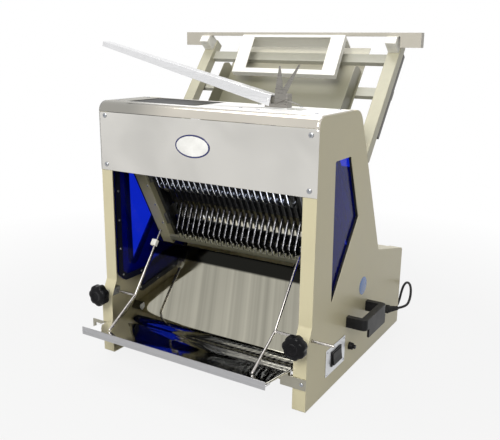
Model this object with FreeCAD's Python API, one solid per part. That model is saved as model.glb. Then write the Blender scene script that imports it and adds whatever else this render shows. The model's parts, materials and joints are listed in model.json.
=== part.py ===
"""Bench-top gravity-feed bread slicer, one STEP file per sub-part, in millimetres.

Axes: +X to the operator's right, +Y to the rear, +Z up. The origin is the centre of the outer box's base,
on the surface that the rubber feet stand on. Work happens in a construction frame whose y = 0 is the front
of the legs; every finished shape is shifted by REAR_SHIFT when it is written.

Two slanted systems place most pieces:
  blade_point(s, n): s runs down the blades, n to the rear, from the front face of the blade rails
  feed_point(u, v):  u runs up the feed floor, v square to it on the loaf's side
"""
import FreeCAD, Part
import math
import os

os.makedirs("parts", exist_ok=True)

V = FreeCAD.Vector

# ---------------------------------------------------------------- driving dimensions
WIDTH = 560.0                 # over the two side housings
DEPTH = 573.0                 # side housing, front of the leg to the back
TOP_Z = 617.0                 # top of the side housings
SIDE_T = 31.0                 # thickness of a side housing
SHEET = 2.0                   # painted steel sheet
THIN = 1.5                    # stainless sheet
FOOT_H = 4.0                  # rubber feet, below the housings
FOOT_R = 12.0
FIT = 0.05                    # radial clearance of a running fit
SLIDE_GAP = 0.3               # clearance of a flat sliding fit
PLAY = 1.0                    # air between parts that only pass each other
REAR_SHIFT = -233.0           # construction y to the row's y

# side housing outline
LEG_KINK_LOW_Z = 149.0
LEG_KINK_HIGH_Z = 188.0
LEG_SET_BACK = 19.0
TOP_BACK_Y = 224.0
NOTCH_Y = 385.0
NOTCH_Z = 262.0
BOX_BACK_Z = 219.0
FRONT_ROUND = 22.0
BACK_ROUND = 40.0

# blades
BLADE_TILT = math.radians(28.3)      # from the vertical, lower end to the rear
RAIL_Y = 91.5                        # a point on the front face of the rails
RAIL_Z = 439.6
PITCH = 16.0                         # slice thickness
BLADE_W = 12.7
BLADE_T = 0.6
STROKE = 8.0                         # crank throw, half of the blade travel
RAIL_W = 33.0
RAIL_D = 32.0
PLATE_T = 6.0                        # inner plate between rail and housing
BAR_W = 11.0                         # side bar of a blade frame
BAR_D = 14.0
FRAME_TOP_S = -40.0
FRAME_END_S = 206.0
CROSS_H = 22.0
FRONT_N = 14.0                       # front face of the front blade frame
REAR_N = 51.0
BLADE_N = 33.0                       # front edge of every blade

# crank drive
CRANK_S = -130.0
CRANK_N = 39.5
SHAFT_R = 8.0
SHEAVE_R = SHAFT_R + STROKE + 1.0
STRAP_WALL = 5.5
ROD_T = 8.0
WRIST_S = -85.0
WRIST_R = 4.0
YOKE_WALL = 5.0
PULLEY_R = 40.0
MOTOR_PULLEY_R = 22.0
BELT_W = 8.0
BELT_T = 3.0
MOTOR_BACK = 118.0                   # motor axis to the back of the housings
MOTOR_Z = 100.0
MOTOR_R = 60.0
MOTOR_L = 170.0
ROTOR_R = 7.0

# feed trough
FEED_TILT = math.radians(38.3)       # from the vertical
FEED_Y = 327.0                       # a point on the loaf face of the floor
FEED_Z = 544.0
FEED_AIR = 18.0                      # feed floor to the inner face of a rail
FEED_TOP_U = 253.0
FENCE_H = 40.0
FENCE_INSET = 6.0                    # fence to the side of the floor
FENCE_TOP_U = FEED_TOP_U - 71.0
BEAM_H = 14.0                        # cross beams
BEAM_W = 25.0
BEAM_TOP_U = FEED_TOP_U - 29.0       # upper edge of the beam on the floor
BEAM_LOW_U = FEED_TOP_U - 115.0      # and of the beam under it
FEED_RAIL_V = 26.0
FEED_RAIL_W = 30.0

# discharge
TRAY_AIR = 6.0                       # tray to the inner face of a housing
LIP_Y = -107.0
LIP_TOP_Z = 114.0
LIP_H = 18.0
LIP_RISE = 8.0                       # lip over the tray's front edge
TRAY_FALL = math.radians(7.4)        # tray, down to the rear
CHUTE_TILT = math.radians(50.5)      # slope behind it, from the horizontal
CHUTE_R = 66.0
CHUTE_AIR = 11.0                     # top end of the slope, in front of the lower comb's bar
CHUTE_DROP = 3.0                     # and below its corner
CHEEK_DEPTH = 16.0

# pusher
PUSHER_AIR = 46.0                    # pusher to the side of the feed floor
PUSHER_V = 62.0                      # height of its upper end over the floor
PUSHER_LOW_V = 48.0
PUSHER_RIM = 16.0                    # depth of its cheeks and lower wall
PUSHER_U = FEED_TOP_U - 10.0         # its upper end, at rest
PUSHER_L = 109.0
HANDLE_REACH = 53.0                  # handle past the housings
HANDLE_H = 34.0
HANDLE_D = 20.0
HANDLE_WEB = 9.0

# guide rods
ROD_R = 3.0
ROD_AIR = 50.0                       # guide rod to the side of the tray
PIVOT_Y = 21.0
PIVOT_Z = 160.0
ROD_STUB = 48.0                      # pivot stub past the right housing
KNOB_X = WIDTH / 2 - SIDE_T / 2
KNOB_Y = -27.0                       # middle of the knob
KNOB_R = 26.5
KNOB_T = 22.0
KNOB_STUD_R = 4.0
KNOB_STUD_END = 14.0

# mains cord
CORD_R = 3.25
RELIEF_BACK = 103.0                  # strain relief to the back of the housings
RELIEF_Z = 76.0
RELIEF_L = 28.0
RELIEF_TURN = math.radians(50)       # from +X towards the rear

HALF = WIDTH / 2
INNER = HALF - SIDE_T
RAIL_OUT = INNER - PLATE_T
RAIL_IN = RAIL_OUT - RAIL_W          # inner face of a rail
BLADE_AIR = 18.0
BLADES_EACH = int((RAIL_IN - BLADE_AIR) // PITCH)
FEED_HALF = RAIL_IN - FEED_AIR
PUSHER_HALF = FEED_HALF - PUSHER_AIR
TRAY_HALF = INNER - TRAY_AIR
ROD_X = TRAY_HALF - ROD_AIR
MOTOR_Y = DEPTH - MOTOR_BACK
RELIEF_Y = DEPTH - RELIEF_BACK
SIN_B, COS_B = math.sin(BLADE_TILT), math.cos(BLADE_TILT)
SIN_F, COS_F = math.sin(FEED_TILT), math.cos(FEED_TILT)


# ---------------------------------------------------------------- helpers
def blade_point(s, n):
    """(y, z) of a place on the blade system."""
    return (RAIL_Y + SIN_B * s + COS_B * n, RAIL_Z - COS_B * s + SIN_B * n)


def feed_point(u, v):
    """(y, z) of a place on the feed system."""
    return (FEED_Y + SIN_F * u - COS_F * v, FEED_Z + COS_F * u + SIN_F * v)


def box(x0, x1, y0, y1, z0, z1):
    """Upright block between two corners."""
    return Part.makeBox(x1 - x0, y1 - y0, z1 - z0, V(x0, y0, z0))


def rounded_wire(points, radii, x):
    """Closed wire in the plane x = const through (y, z) points, each corner rounded by its radius."""
    count = len(points)
    corners = []
    for i, (y, z) in enumerate(points):
        here = V(x, y, z)
        before = (V(x, *points[i - 1]) - here).normalize()
        after = (V(x, *points[(i + 1) % count]) - here).normalize()
        radius = radii[i] if isinstance(radii, (list, tuple)) else radii
        if radius <= 0:
            corners.append((here, None, here))
            continue
        half_angle = before.getAngle(after) / 2
        back = radius / math.tan(half_angle)
        middle = (before + after).normalize() * (radius / math.sin(half_angle) - radius)
        corners.append((here + before * back, here + middle, here + after * back))
    edges = []
    for i, (start, middle, end) in enumerate(corners):
        if middle is not None:
            edges.append(Part.Arc(start, middle, end).toShape())
        following = corners[(i + 1) % count][0]
        if (following - end).Length > 1e-6:
            edges.append(Part.LineSegment(end, following).toShape())
    return Part.Wire(edges)


def plate(points, x0, x1, radii=0.0):
    """Plate between two x planes, with a (y, z) outline and rounded corners."""
    face = Part.Face(rounded_wire(points, radii, x0))
    return face.extrude(V(x1 - x0, 0, 0))


def shifted_line(path, distance):
    """The corner points of an open (y, z) path moved sideways, to the left of its direction."""
    normals = []
    for (y0, z0), (y1, z1) in zip(path, path[1:]):
        length = math.hypot(y1 - y0, z1 - z0)
        normals.append((-(z1 - z0) / length, (y1 - y0) / length))
    moved = [(path[0][0] + normals[0][0] * distance, path[0][1] + normals[0][1] * distance)]
    for i in range(1, len(path) - 1):
        a, b = normals[i - 1], normals[i]
        scale = distance / (1 + a[0] * b[0] + a[1] * b[1])
        moved.append((path[i][0] + (a[0] + b[0]) * scale, path[i][1] + (a[1] + b[1]) * scale))
    last = normals[-1]
    moved.append((path[-1][0] + last[0] * distance, path[-1][1] + last[1] * distance))
    return moved


def bent_sheet(path, thickness, x0, x1, radii):
    """Folded sheet: an open (y, z) path, thickened to its left, with the bend radii of the path itself.

    A bend to the left is tighter on the far side of the sheet, one to the right is wider there."""
    outer = shifted_line(path, thickness)
    near, far = [0.0] * len(path), [0.0] * len(path)
    for i in range(1, len(path) - 1):
        turn = ((path[i][0] - path[i - 1][0]) * (path[i + 1][1] - path[i][1])
                - (path[i][1] - path[i - 1][1]) * (path[i + 1][0] - path[i][0]))
        near[i] = radii[i - 1]
        far[i] = radii[i - 1] - thickness if turn > 0 else radii[i - 1] + thickness
    return plate(path + outer[::-1], x0, x1, near + far[::-1])


def tilted(points, place, x0, x1, radii=0.0):
    """Plate whose outline is given in one of the slanted systems."""
    return plate([place(a, b) for a, b in points], x0, x1, radii)


def blade_block(s0, s1, n0, n1, x0, x1):
    """Block lined up with the blades."""
    return tilted([(s0, n0), (s1, n0), (s1, n1), (s0, n1)], blade_point, x0, x1)


def feed_block(u0, u1, v0, v1, x0, x1):
    """Block lined up with the feed floor."""
    return tilted([(u0, v0), (u1, v0), (u1, v1), (u0, v1)], feed_point, x0, x1)


def rod(start, end, radius):
    """Round bar between two points."""
    return Part.makeCylinder(radius, (end - start).Length, start, end - start)


def x_rod(x0, x1, y, z, radius):
    """Round bar along X."""
    return Part.makeCylinder(radius, x1 - x0, V(x0, y, z), V(1, 0, 0))


def y_rod(x, y0, y1, z, radius):
    """Round bar along Y."""
    return Part.makeCylinder(radius, y1 - y0, V(x, y0, z), V(0, 1, 0))


def pan_screw(head, direction, radius=4.0, height=2.2, shank=0.0, shank_r=2.0):
    """Domed screw head that sits on a face at head, with an optional shank behind it."""
    direction = V(direction).normalize()
    body = Part.makeCylinder(radius, height * 0.45, head, direction)
    dome = Part.makeCone(radius, radius * 0.55, height * 0.55, head + direction * height * 0.45, direction)
    body = body.fuse(dome)
    if shank > 0:
        body = body.fuse(Part.makeCylinder(shank_r, shank, head - direction * shank, direction))
    return body.removeSplitter()


def both_sides(shape):
    """The shape and its mirror image across x = 0."""
    return [shape, shape.mirror(V(0, 0, 0), V(1, 0, 0))]


def group(shapes):
    """Separate solids that share one node."""
    solids = []
    for shape in shapes:
        solids += shape.Solids
    return Part.makeCompound(solids)


PIECES = {}


def keep(name, shape):
    """Stores a finished sub-part under its node name."""
    PIECES[name] = shape


# ---------------------------------------------------------------- side housings and windows
HOUSING = [(0, FOOT_H), (0, LEG_KINK_LOW_Z), (LEG_SET_BACK, LEG_KINK_HIGH_Z), (LEG_SET_BACK, TOP_Z),
           (TOP_BACK_Y, TOP_Z), (NOTCH_Y, NOTCH_Z), (DEPTH, BOX_BACK_Z), (DEPTH, FOOT_H)]
HOUSING_RADII = [3, 12, 12, FRONT_ROUND, BACK_ROUND, 14, 10, 3]
REAR_SLOPE = (NOTCH_Y - TOP_BACK_Y) / (TOP_Z - NOTCH_Z)
OPENING = [(101, 521), (181, 521), (241, 377), (110, 207)]
PANEL = [(50, 560), (205, 560), (318, 330), (336, 196), (300, 168), (72, 168), (50, 190)]
PANEL_ROUND = 14.0
GASKET_T = 5.0
ACRYLIC_T = 4.0
RETAINER_T = 2.0
RETAINER_W = 15.0
GASKET_OUT = HALF - SHEET
GASKET_IN = GASKET_OUT - GASKET_T
ACRYLIC_IN = GASKET_IN - ACRYLIC_T
RETAINER_IN = ACRYLIC_IN - RETAINER_T


def shrunk(wire_points, radii, x, inset):
    """Face of a rounded outline, moved inward by inset."""
    wire = rounded_wire(wire_points, radii, x)
    return Part.Face(wire.makeOffset2D(-inset)) if inset else Part.Face(wire)


def rear_edge_y(z):
    """y of the housing's slanted rear edge at a height."""
    return TOP_BACK_Y + (TOP_Z - z) * REAR_SLOPE


def housing_hollow():
    """Space inside the right side housing, open towards the machine."""
    return shrunk(HOUSING, HOUSING_RADII, INNER - 1, SHEET).extrude(V(SIDE_T - SHEET + 1, 0, 0))


def side_housing():
    """Right side housing: a folded pan, open towards the machine, with the window cut through its skin."""
    shell = plate(HOUSING, INNER, HALF, HOUSING_RADII)
    shell = shell.cut(housing_hollow())
    window = plate(OPENING, HALF - SHEET - 1, HALF + 1, 4)
    shell = shell.cut(window)
    pivot = x_rod(HALF - SHEET - 1, HALF + 1, PIVOT_Y, PIVOT_Z, ROD_R + PLAY)
    return shell.cut(pivot)


def window_gasket():
    """Black rubber frame between the skin and the acrylic, just outside the opening."""
    outer = shrunk(OPENING, 4, GASKET_IN, -14).extrude(V(GASKET_T, 0, 0))
    inner = plate(OPENING, GASKET_IN - 1, GASKET_OUT + 1, 4)
    return outer.cut(inner)


def window_panel():
    """Blue acrylic sheet behind the opening."""
    return plate(PANEL, ACRYLIC_IN, GASKET_IN, PANEL_ROUND)


def window_retainer():
    """Dark strip frame that clamps the edge of the acrylic."""
    outer = plate(PANEL, RETAINER_IN, ACRYLIC_IN, PANEL_ROUND)
    inner = shrunk(PANEL, PANEL_ROUND, RETAINER_IN - 1, RETAINER_W).extrude(V(RETAINER_T + 2, 0, 0))
    return outer.cut(inner)


def retainer_spots():
    """Screw places along the middle of the retainer, (y, z)."""
    wire = rounded_wire(PANEL, PANEL_ROUND, 0).makeOffset2D(-RETAINER_W / 2)
    count = int(wire.Length // 72)
    return [(p.y, p.z) for p in wire.discretize(Number=count + 1)[:-1]]


RIGHT_HOUSING = side_housing()
keep("right_side_housing", RIGHT_HOUSING)
keep("left_side_housing", both_sides(RIGHT_HOUSING)[1])
keep("window_gaskets", group(both_sides(window_gasket())))
keep("window_panels", group(both_sides(window_panel())))
keep("window_retainers", group(both_sides(window_retainer())))


# ---------------------------------------------------------------- covers
COVER_LOW_Z = 459.0
COVER_TOP_Z = 594.0
COVER_Y = LEG_SET_BACK - THIN
BADGE_X = -16.0
BADGE_Z = 536.0
BADGE_RX = 45.0
BADGE_RZ = 25.0
BADGE_T = 1.0
TOP_COVER_END_Y = 180.0
HATCH = (-HALF + 54, -HALF + 246, 52.0, TOP_COVER_END_Y - 8)


def front_cover():
    """Flat stainless sheet across the front, with a short return along its lower edge."""
    return_d = 14.0
    face = box(-HALF, HALF, COVER_Y, LEG_SET_BACK, COVER_LOW_Z, COVER_TOP_Z)
    fold = box(-INNER + PLAY, INNER - PLAY, LEG_SET_BACK, LEG_SET_BACK + return_d,
               COVER_LOW_Z, COVER_LOW_Z + THIN)
    return face.fuse(fold).removeSplitter()


def top_cover():
    """Polished sheet: round nose above the front cover, flat top, hatch opening on the left."""
    path = [(LEG_SET_BACK, COVER_TOP_Z + PLAY), (LEG_SET_BACK, TOP_Z), (TOP_COVER_END_Y, TOP_Z)]
    near = FRONT_ROUND - 0.01
    sheet = bent_sheet(path, THIN, -HALF, HALF, [near])
    down = box(-INNER + PLAY, INNER - PLAY, TOP_COVER_END_Y - THIN, TOP_COVER_END_Y, TOP_Z - 14, TOP_Z)
    x0, x1, y0, y1 = HATCH
    hole = box(x0, x1, y0, y1, TOP_Z - 1, TOP_Z + THIN + 1)
    return sheet.fuse(down).removeSplitter().cut(hole)


def hatch_plate():
    """Black inspection plate that closes the hatch opening from below."""
    x0, x1, y0, y1 = HATCH
    lap = 8.0
    return box(x0 - lap, x1 + lap, y0 - lap, min(y1 + lap, TOP_COVER_END_Y - THIN), TOP_Z - THIN, TOP_Z)


def badge():
    """Blank oval plate on the front cover."""
    oval = Part.Ellipse(V(BADGE_X, COVER_Y, BADGE_Z), BADGE_RX, BADGE_RZ)
    oval.Axis = V(0, -1, 0)
    oval.XAxis = V(1, 0, 0)
    return Part.Face(Part.Wire(oval.toShape())).extrude(V(0, -BADGE_T, 0))


SLOPE_TOP_Z = 478.0
SLOPE_LOW_Z = NOTCH_Z + 14.0
SLOPE_INSET = 5.0
LID_FRONT = 6.0


def rear_slope_cover():
    """Sheet over the rear edges of the housings, from under the feed floor down to the rear box."""
    path = [(rear_edge_y(SLOPE_LOW_Z), SLOPE_LOW_Z), (rear_edge_y(SLOPE_TOP_Z), SLOPE_TOP_Z)]
    return bent_sheet(path, -THIN, -HALF + SLOPE_INSET, HALF - SLOPE_INSET, [])


def rear_box_cover():
    """Painted back and lid of the rear box, against the inside of the housings' flanges."""
    slope = (NOTCH_Z - BOX_BACK_Z) / (DEPTH - NOTCH_Y)
    under = SHEET * math.hypot(1, slope)

    def lid_z(y):
        return NOTCH_Z - (y - NOTCH_Y) * slope - under

    back_y, front_y = DEPTH - SHEET, NOTCH_Y + LID_FRONT
    path = [(back_y, BASE_Z), (back_y, lid_z(back_y)), (front_y, lid_z(front_y))]
    return bent_sheet(path, SHEET, -HALF + SHEET, HALF - SHEET, [9])


BASE_Z = 30.0
BASE_FRONT_Y = 62.0


keep("front_cover", front_cover())
keep("top_cover", top_cover())
keep("top_hatch_plate", hatch_plate())
keep("rear_slope_cover", rear_slope_cover())
keep("rear_box_cover", rear_box_cover())

keep("base_plate", box(-HALF + SHEET, HALF - SHEET, BASE_FRONT_Y, DEPTH - 2 * SHEET - SLIDE_GAP,
                       BASE_Z - SHEET, BASE_Z))

FEET = [(y, x) for y in (22.0, DEPTH - 22.0) for x in (-HALF + SIDE_T / 2, HALF - SIDE_T / 2)]


def foot(x, y):
    """Rubber foot pressed under a housing."""
    base = Part.makeCone(FOOT_R - 1.5, FOOT_R, FOOT_H, V(x, y, 0))
    return base


keep("rubber_feet", group([foot(x, y) for y, x in FEET]))


# ---------------------------------------------------------------- inner plates and blade rails
PLATE_N = 100.0
RAIL_TOP_S = -60.0
RAIL_END_S = 223.0


def inner_plate():
    """Steel plate against the housing: carries the crank bearing above and the blade rail below."""
    front_y = LEG_SET_BACK + 1
    low_z, slope_z = COVER_LOW_Z + 11, TOP_Z - 57
    outline = [(front_y, low_z), (front_y, TOP_Z - 6), (TOP_COVER_END_Y - 30, TOP_Z - 6),
               (rear_edge_y(slope_z) - 8, slope_z),
               blade_point(-20, PLATE_N), blade_point(130, PLATE_N), blade_point(RAIL_END_S, 40),
               blade_point(RAIL_END_S, 2), blade_point(-24, 2)]
    corner = 4
    body = plate(outline, RAIL_OUT, INNER, [corner, FRONT_ROUND - 1] + [corner] * (len(outline) - 2))
    y, z = blade_point(CRANK_S, CRANK_N)
    return body.cut(x_rod(RAIL_OUT - 1, INNER + 1, y, z, SHAFT_R + 2))


def blade_rail():
    """Painted box-section post that carries the guides, the combs and the side of the blade opening."""
    wall = 2.5
    body = blade_block(RAIL_TOP_S, RAIL_END_S, 0, RAIL_D, RAIL_IN, RAIL_OUT)
    hollow = blade_block(RAIL_TOP_S - 1, RAIL_END_S + 1, wall, RAIL_D - wall, RAIL_IN + wall, RAIL_OUT - wall)
    return body.cut(hollow)


keep("inner_plates", group(both_sides(inner_plate())))
keep("blade_rails", group(both_sides(blade_rail())))


# ---------------------------------------------------------------- blade frames
BAR_OUT = RAIL_IN - 2.5
BAR_IN = BAR_OUT - BAR_W
LUG_T = 6.0
FRONT_ROD_X = RAIL_IN - 60.0
REAR_ROD_X = RAIL_IN - 114.0


def blade_places(first):
    """x of one frame's blades: every second place across the loaf."""
    span = PITCH * (2 * BLADES_EACH - 1) / 2
    return [-span + PITCH * (2 * i + first) for i in range(BLADES_EACH)]


def blade_frame(n0, rod_x):
    """Ladder of two side bars and two cross bars; two lugs with wrist pins are welded on its upper bar."""
    n1 = n0 + BAR_D
    outer = blade_block(FRAME_TOP_S, FRAME_END_S, n0, n1, -BAR_OUT, BAR_OUT)
    inner = blade_block(FRAME_TOP_S + CROSS_H, FRAME_END_S - CROSS_H, n0 - 1, n1 + 1, -BAR_IN, BAR_IN)
    solids = [outer.cut(inner).removeSplitter()]
    middle = n0 + BAR_D / 2
    gap = PLAY * 1.5
    y, z = blade_point(WRIST_S, middle)
    for side in (-1, 1):
        near = side * (rod_x + ROD_T / 2 + gap)
        far = near + side * LUG_T
        low, high = sorted((near, far))
        lug = blade_block(WRIST_S - 9, FRAME_TOP_S, n0, n1, low, high)
        end = side * (rod_x - ROD_T / 2 - gap)
        pin_low, pin_high = sorted((far, end))
        solids.append(lug.fuse(x_rod(pin_low, pin_high, y, z, WRIST_R)).removeSplitter())
    return group(solids)


def blade_set(first, n_bar):
    """One frame's blades, each with its two end hooks reaching to the cross bars."""
    hook_t = 3.0
    top_s = FRAME_TOP_S + CROSS_H / 2
    end_s = FRAME_END_S - CROSS_H / 2
    hook_n = (n_bar + BAR_D, BLADE_N + BLADE_W) if n_bar < BLADE_N else (BLADE_N, n_bar)
    blades = []
    for x in blade_places(first):
        strip = blade_block(top_s, end_s, BLADE_N, BLADE_N + BLADE_W, x - BLADE_T / 2, x + BLADE_T / 2)
        for s in (top_s, end_s):
            strip = strip.fuse(blade_block(s - 8, s + 8, hook_n[0], hook_n[1], x - hook_t / 2, x + hook_t / 2))
        blades.append(strip.removeSplitter())
    return group(blades)


keep("front_blade_frame", blade_frame(FRONT_N, FRONT_ROD_X))
keep("rear_blade_frame", blade_frame(REAR_N, REAR_ROD_X))
keep("front_blades", blade_set(0, FRONT_N))
keep("rear_blades", blade_set(1, REAR_N))


def guide_block(s0, s1):
    """Nylon guide on the rail's inner face, with ribs before and behind each frame's side bar."""
    rib_x = BAR_OUT - 5
    back = blade_block(s0, s1, 6, REAR_N + BAR_D + 6, BAR_OUT + SLIDE_GAP, RAIL_IN)
    body = back
    for n0 in (FRONT_N, REAR_N):
        for low, high in ((n0 - 5, n0 - SLIDE_GAP), (n0 + BAR_D + SLIDE_GAP, n0 + BAR_D + 5)):
            body = body.fuse(blade_block(s0, s1, low, high, rib_x, BAR_OUT + SLIDE_GAP))
    return body.removeSplitter()


GUIDE_L = 32.0
GUIDES = [guide_block(s, s + GUIDE_L) for s in (FRAME_TOP_S + 34, FRAME_END_S - 78)]
keep("nylon_guides", group([half for g in GUIDES for half in both_sides(g)]))


# ---------------------------------------------------------------- combs
FINGER_T = 3.0
COMB_HALF = RAIL_IN
COMB_TOP_S = 192.0                   # lower comb's bar, down the blades
COMB_END_S = 207.0
COMB_PROUD = 3.0                     # combs in front of the rails
FINGER_X = [PITCH * (i - BLADES_EACH) for i in range(2 * BLADES_EACH + 1)]


def lower_comb():
    """Painted bar across the front with a finger in every slice gap, up to the end of the feed floor."""
    front, foot_s = -COMB_PROUD, COMB_TOP_S + 2
    body = blade_block(COMB_TOP_S, COMB_END_S, front, 5, -COMB_HALF, COMB_HALF)
    finger = [(foot_s, front), (COMB_TOP_S - 30, front), (118, 47), (124, 50), (foot_s, front + 2)]
    for x in FINGER_X[1:-1]:
        body = body.fuse(tilted(finger, blade_point, x - FINGER_T / 2, x + FINGER_T / 2))
    return body.removeSplitter()


def upper_comb():
    """Bar behind the front cover with a curved hold-down finger in every slice gap."""
    front = -COMB_PROUD
    body = blade_block(-26, -4, front, 5, -COMB_HALF, COMB_HALF)
    reach = 26.0
    outline = [(-8, front), (44, front), (44, reach), (36, reach), (36, 8), (-8, 8)]
    for x in FINGER_X[1:-1]:
        body = body.fuse(tilted(outline, blade_point, x - FINGER_T / 2, x + FINGER_T / 2, [0, 24, 0, 0, 14, 0]))
    return body.removeSplitter()


keep("lower_comb", lower_comb())
keep("upper_comb", upper_comb())


# ---------------------------------------------------------------- crank drive
CRANK_Y, CRANK_Z = blade_point(CRANK_S, CRANK_N)
SHAFT_END = RETAINER_IN - PLAY
SHEAVE_T = ROD_T + 4
PULLEY_T = BELT_W + 4
PULLEY_X = INNER + 1.5
BELT_X = PULLEY_X + (PULLEY_T - BELT_W) / 2
STRAP_R = SHEAVE_R + STRAP_WALL
YOKE_S = 2 * STROKE + WRIST_R + 1.5     # half of the yoke's opening along the blades
YOKE_N = STROKE + WRIST_R + 1.5
FRONT_MID = FRONT_N + BAR_D / 2
REAR_MID = REAR_N + BAR_D / 2


def crankshaft():
    """Shaft with four eccentric sheaves, the outer pair thrown down the blades and the inner pair up."""
    body = x_rod(-RAIL_OUT - PLATE_T, SHAFT_END, CRANK_Y, CRANK_Z, SHAFT_R)
    for rod_x, throw in ((FRONT_ROD_X, STROKE), (REAR_ROD_X, -STROKE)):
        y, z = blade_point(CRANK_S + throw, CRANK_N)
        for side in (-1, 1):
            middle = side * rod_x
            body = body.fuse(x_rod(middle - SHEAVE_T / 2, middle + SHEAVE_T / 2, y, z, SHEAVE_R))
    return body.removeSplitter()


def grooved_pulley(x, y, z, radius, bore):
    """V pulley on an X axis, from x to x + PULLEY_T."""
    lip = 2.0
    body = x_rod(x, x + PULLEY_T, y, z, radius)
    groove = x_rod(x + lip, x + PULLEY_T - lip, y, z, radius + 1)
    groove = groove.cut(x_rod(x, x + PULLEY_T, y, z, radius - BELT_T))
    return body.cut(groove).cut(x_rod(x - 1, x + PULLEY_T + 1, y, z, bore))


def connecting_rod(x, throw, mid_n):
    """Rod from an eccentric strap to a square yoke that hangs free around the wrist pin."""
    middle = WRIST_S + throw
    big_y, big_z = blade_point(CRANK_S + throw, CRANK_N)
    small_y, small_z = blade_point(middle, mid_n)
    x0, x1 = x - ROD_T / 2, x + ROD_T / 2
    start, end = V(x0, big_y, big_z), V(x0, small_y, small_z)
    along = (end - start).normalize()
    across = V(0, -along.z, along.y)
    half = 6.0
    web = Part.makePolygon([start + across * half, start - across * half,
                            end - across * half, end + across * half, start + across * half])
    body = Part.Face(web).extrude(V(ROD_T, 0, 0))
    reach_s, reach_n = YOKE_S + YOKE_WALL, YOKE_N + YOKE_WALL
    yoke = blade_block(middle - reach_s, middle + reach_s, mid_n - reach_n, mid_n + reach_n, x0, x1)
    opening = blade_block(middle - YOKE_S, middle + YOKE_S, mid_n - YOKE_N, mid_n + YOKE_N, x0 - 1, x1 + 1)
    body = body.fuse(x_rod(x0, x1, big_y, big_z, STRAP_R)).fuse(yoke).cut(opening)
    return body.cut(x_rod(x0 - 1, x1 + 1, big_y, big_z, SHEAVE_R + FIT)).removeSplitter()


def bearing():
    """Flanged bearing on the inner side of the inner plate."""
    flange = x_rod(RAIL_OUT - 10, RAIL_OUT, CRANK_Y, CRANK_Z, 22)
    nose = x_rod(RAIL_OUT - 22, RAIL_OUT - 10, CRANK_Y, CRANK_Z, 15)
    return flange.fuse(nose).cut(x_rod(0, HALF, CRANK_Y, CRANK_Z, SHAFT_R + FIT)).removeSplitter()


def belt():
    """Drive belt: a flat loop round the two pulleys, in the plane of their grooves."""
    wheels = [(CRANK_Y, CRANK_Z, PULLEY_R - BELT_T + SLIDE_GAP), (MOTOR_Y, MOTOR_Z, MOTOR_PULLEY_R - BELT_T + SLIDE_GAP)]

    def loop(extra):
        (y0, z0, r0), (y1, z1, r1) = wheels
        r0, r1 = r0 + extra, r1 + extra
        gap = math.hypot(y1 - y0, z1 - z0)
        heading = math.atan2(z1 - z0, y1 - y0)
        lean = math.acos((r0 - r1) / gap)

        def at(wheel, radius, angle):
            return V(BELT_X + SLIDE_GAP, wheel[0] + radius * math.cos(angle), wheel[1] + radius * math.sin(angle))

        a, b = at(wheels[0], r0, heading + lean), at(wheels[1], r1, heading + lean)
        c, d = at(wheels[1], r1, heading - lean), at(wheels[0], r0, heading - lean)
        return Part.Wire([Part.LineSegment(a, b).toShape(),
                          Part.Arc(b, at(wheels[1], r1, heading), c).toShape(),
                          Part.LineSegment(c, d).toShape(),
                          Part.Arc(d, at(wheels[0], r0, heading + math.pi), a).toShape()])

    width = V(BELT_W - 2 * SLIDE_GAP, 0, 0)
    return Part.Face(loop(BELT_T)).extrude(width).cut(Part.Face(loop(0)).extrude(width))


MOTOR_X0 = 20.0
MOTOR_X1 = MOTOR_X0 + MOTOR_L
MOUNT_T = 5.0


def motor():
    """Motor case with end bell and a bored output boss."""
    body = x_rod(MOTOR_X0, MOTOR_X1, MOTOR_Y, MOTOR_Z, MOTOR_R)
    boss = x_rod(MOTOR_X1, MOTOR_X1 + 12, MOTOR_Y, MOTOR_Z, 22)
    bore = x_rod(MOTOR_X1 - 40, MOTOR_X1 + 13, MOTOR_Y, MOTOR_Z, ROTOR_R + FIT)
    return body.fuse(boss).cut(bore).removeSplitter()


def motor_mount():
    """Cradle plate and two feet that carry the motor on the base plate."""
    top = MOTOR_Z - 30
    half = 62.0
    shapes = []
    for x in (MOTOR_X0 + 30, MOTOR_X1 - 30 - MOUNT_T):
        shapes.append(box(x, x + MOUNT_T, MOTOR_Y - half, MOTOR_Y + half, BASE_Z, top))
    shoe = box(MOTOR_X0 + 10, MOTOR_X1 - 10, MOTOR_Y - half, MOTOR_Y + half, BASE_Z, BASE_Z + MOUNT_T)
    body = shapes[0].fuse(shapes[1]).fuse(shoe)
    return body.cut(x_rod(MOTOR_X0, MOTOR_X1, MOTOR_Y, MOTOR_Z, MOTOR_R)).removeSplitter()


keep("crankshaft", crankshaft())
keep("crank_pulley", grooved_pulley(PULLEY_X, CRANK_Y, CRANK_Z, PULLEY_R, SHAFT_R))
keep("front_connecting_rods", group([connecting_rod(x, STROKE, FRONT_MID) for x in (-FRONT_ROD_X, FRONT_ROD_X)]))
keep("rear_connecting_rods", group([connecting_rod(x, -STROKE, REAR_MID) for x in (-REAR_ROD_X, REAR_ROD_X)]))

ROD_SEAT_H = 9.0


def rod_pivot_block():
    """Bored block inside the leg: the guide rod turns in it, and the knob's stud threads in from the front."""
    body = box(INNER + PLAY, HALF - SHEET, 0, PIVOT_Y + 11, PIVOT_Z - ROD_SEAT_H, PIVOT_Z + ROD_SEAT_H)
    body = body.common(housing_hollow())
    body = body.cut(x_rod(INNER, HALF, PIVOT_Y, PIVOT_Z, ROD_R + FIT))
    return body.cut(y_rod(KNOB_X, -1, KNOB_STUD_END + PLAY, PIVOT_Z, KNOB_STUD_R + FIT))


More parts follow.
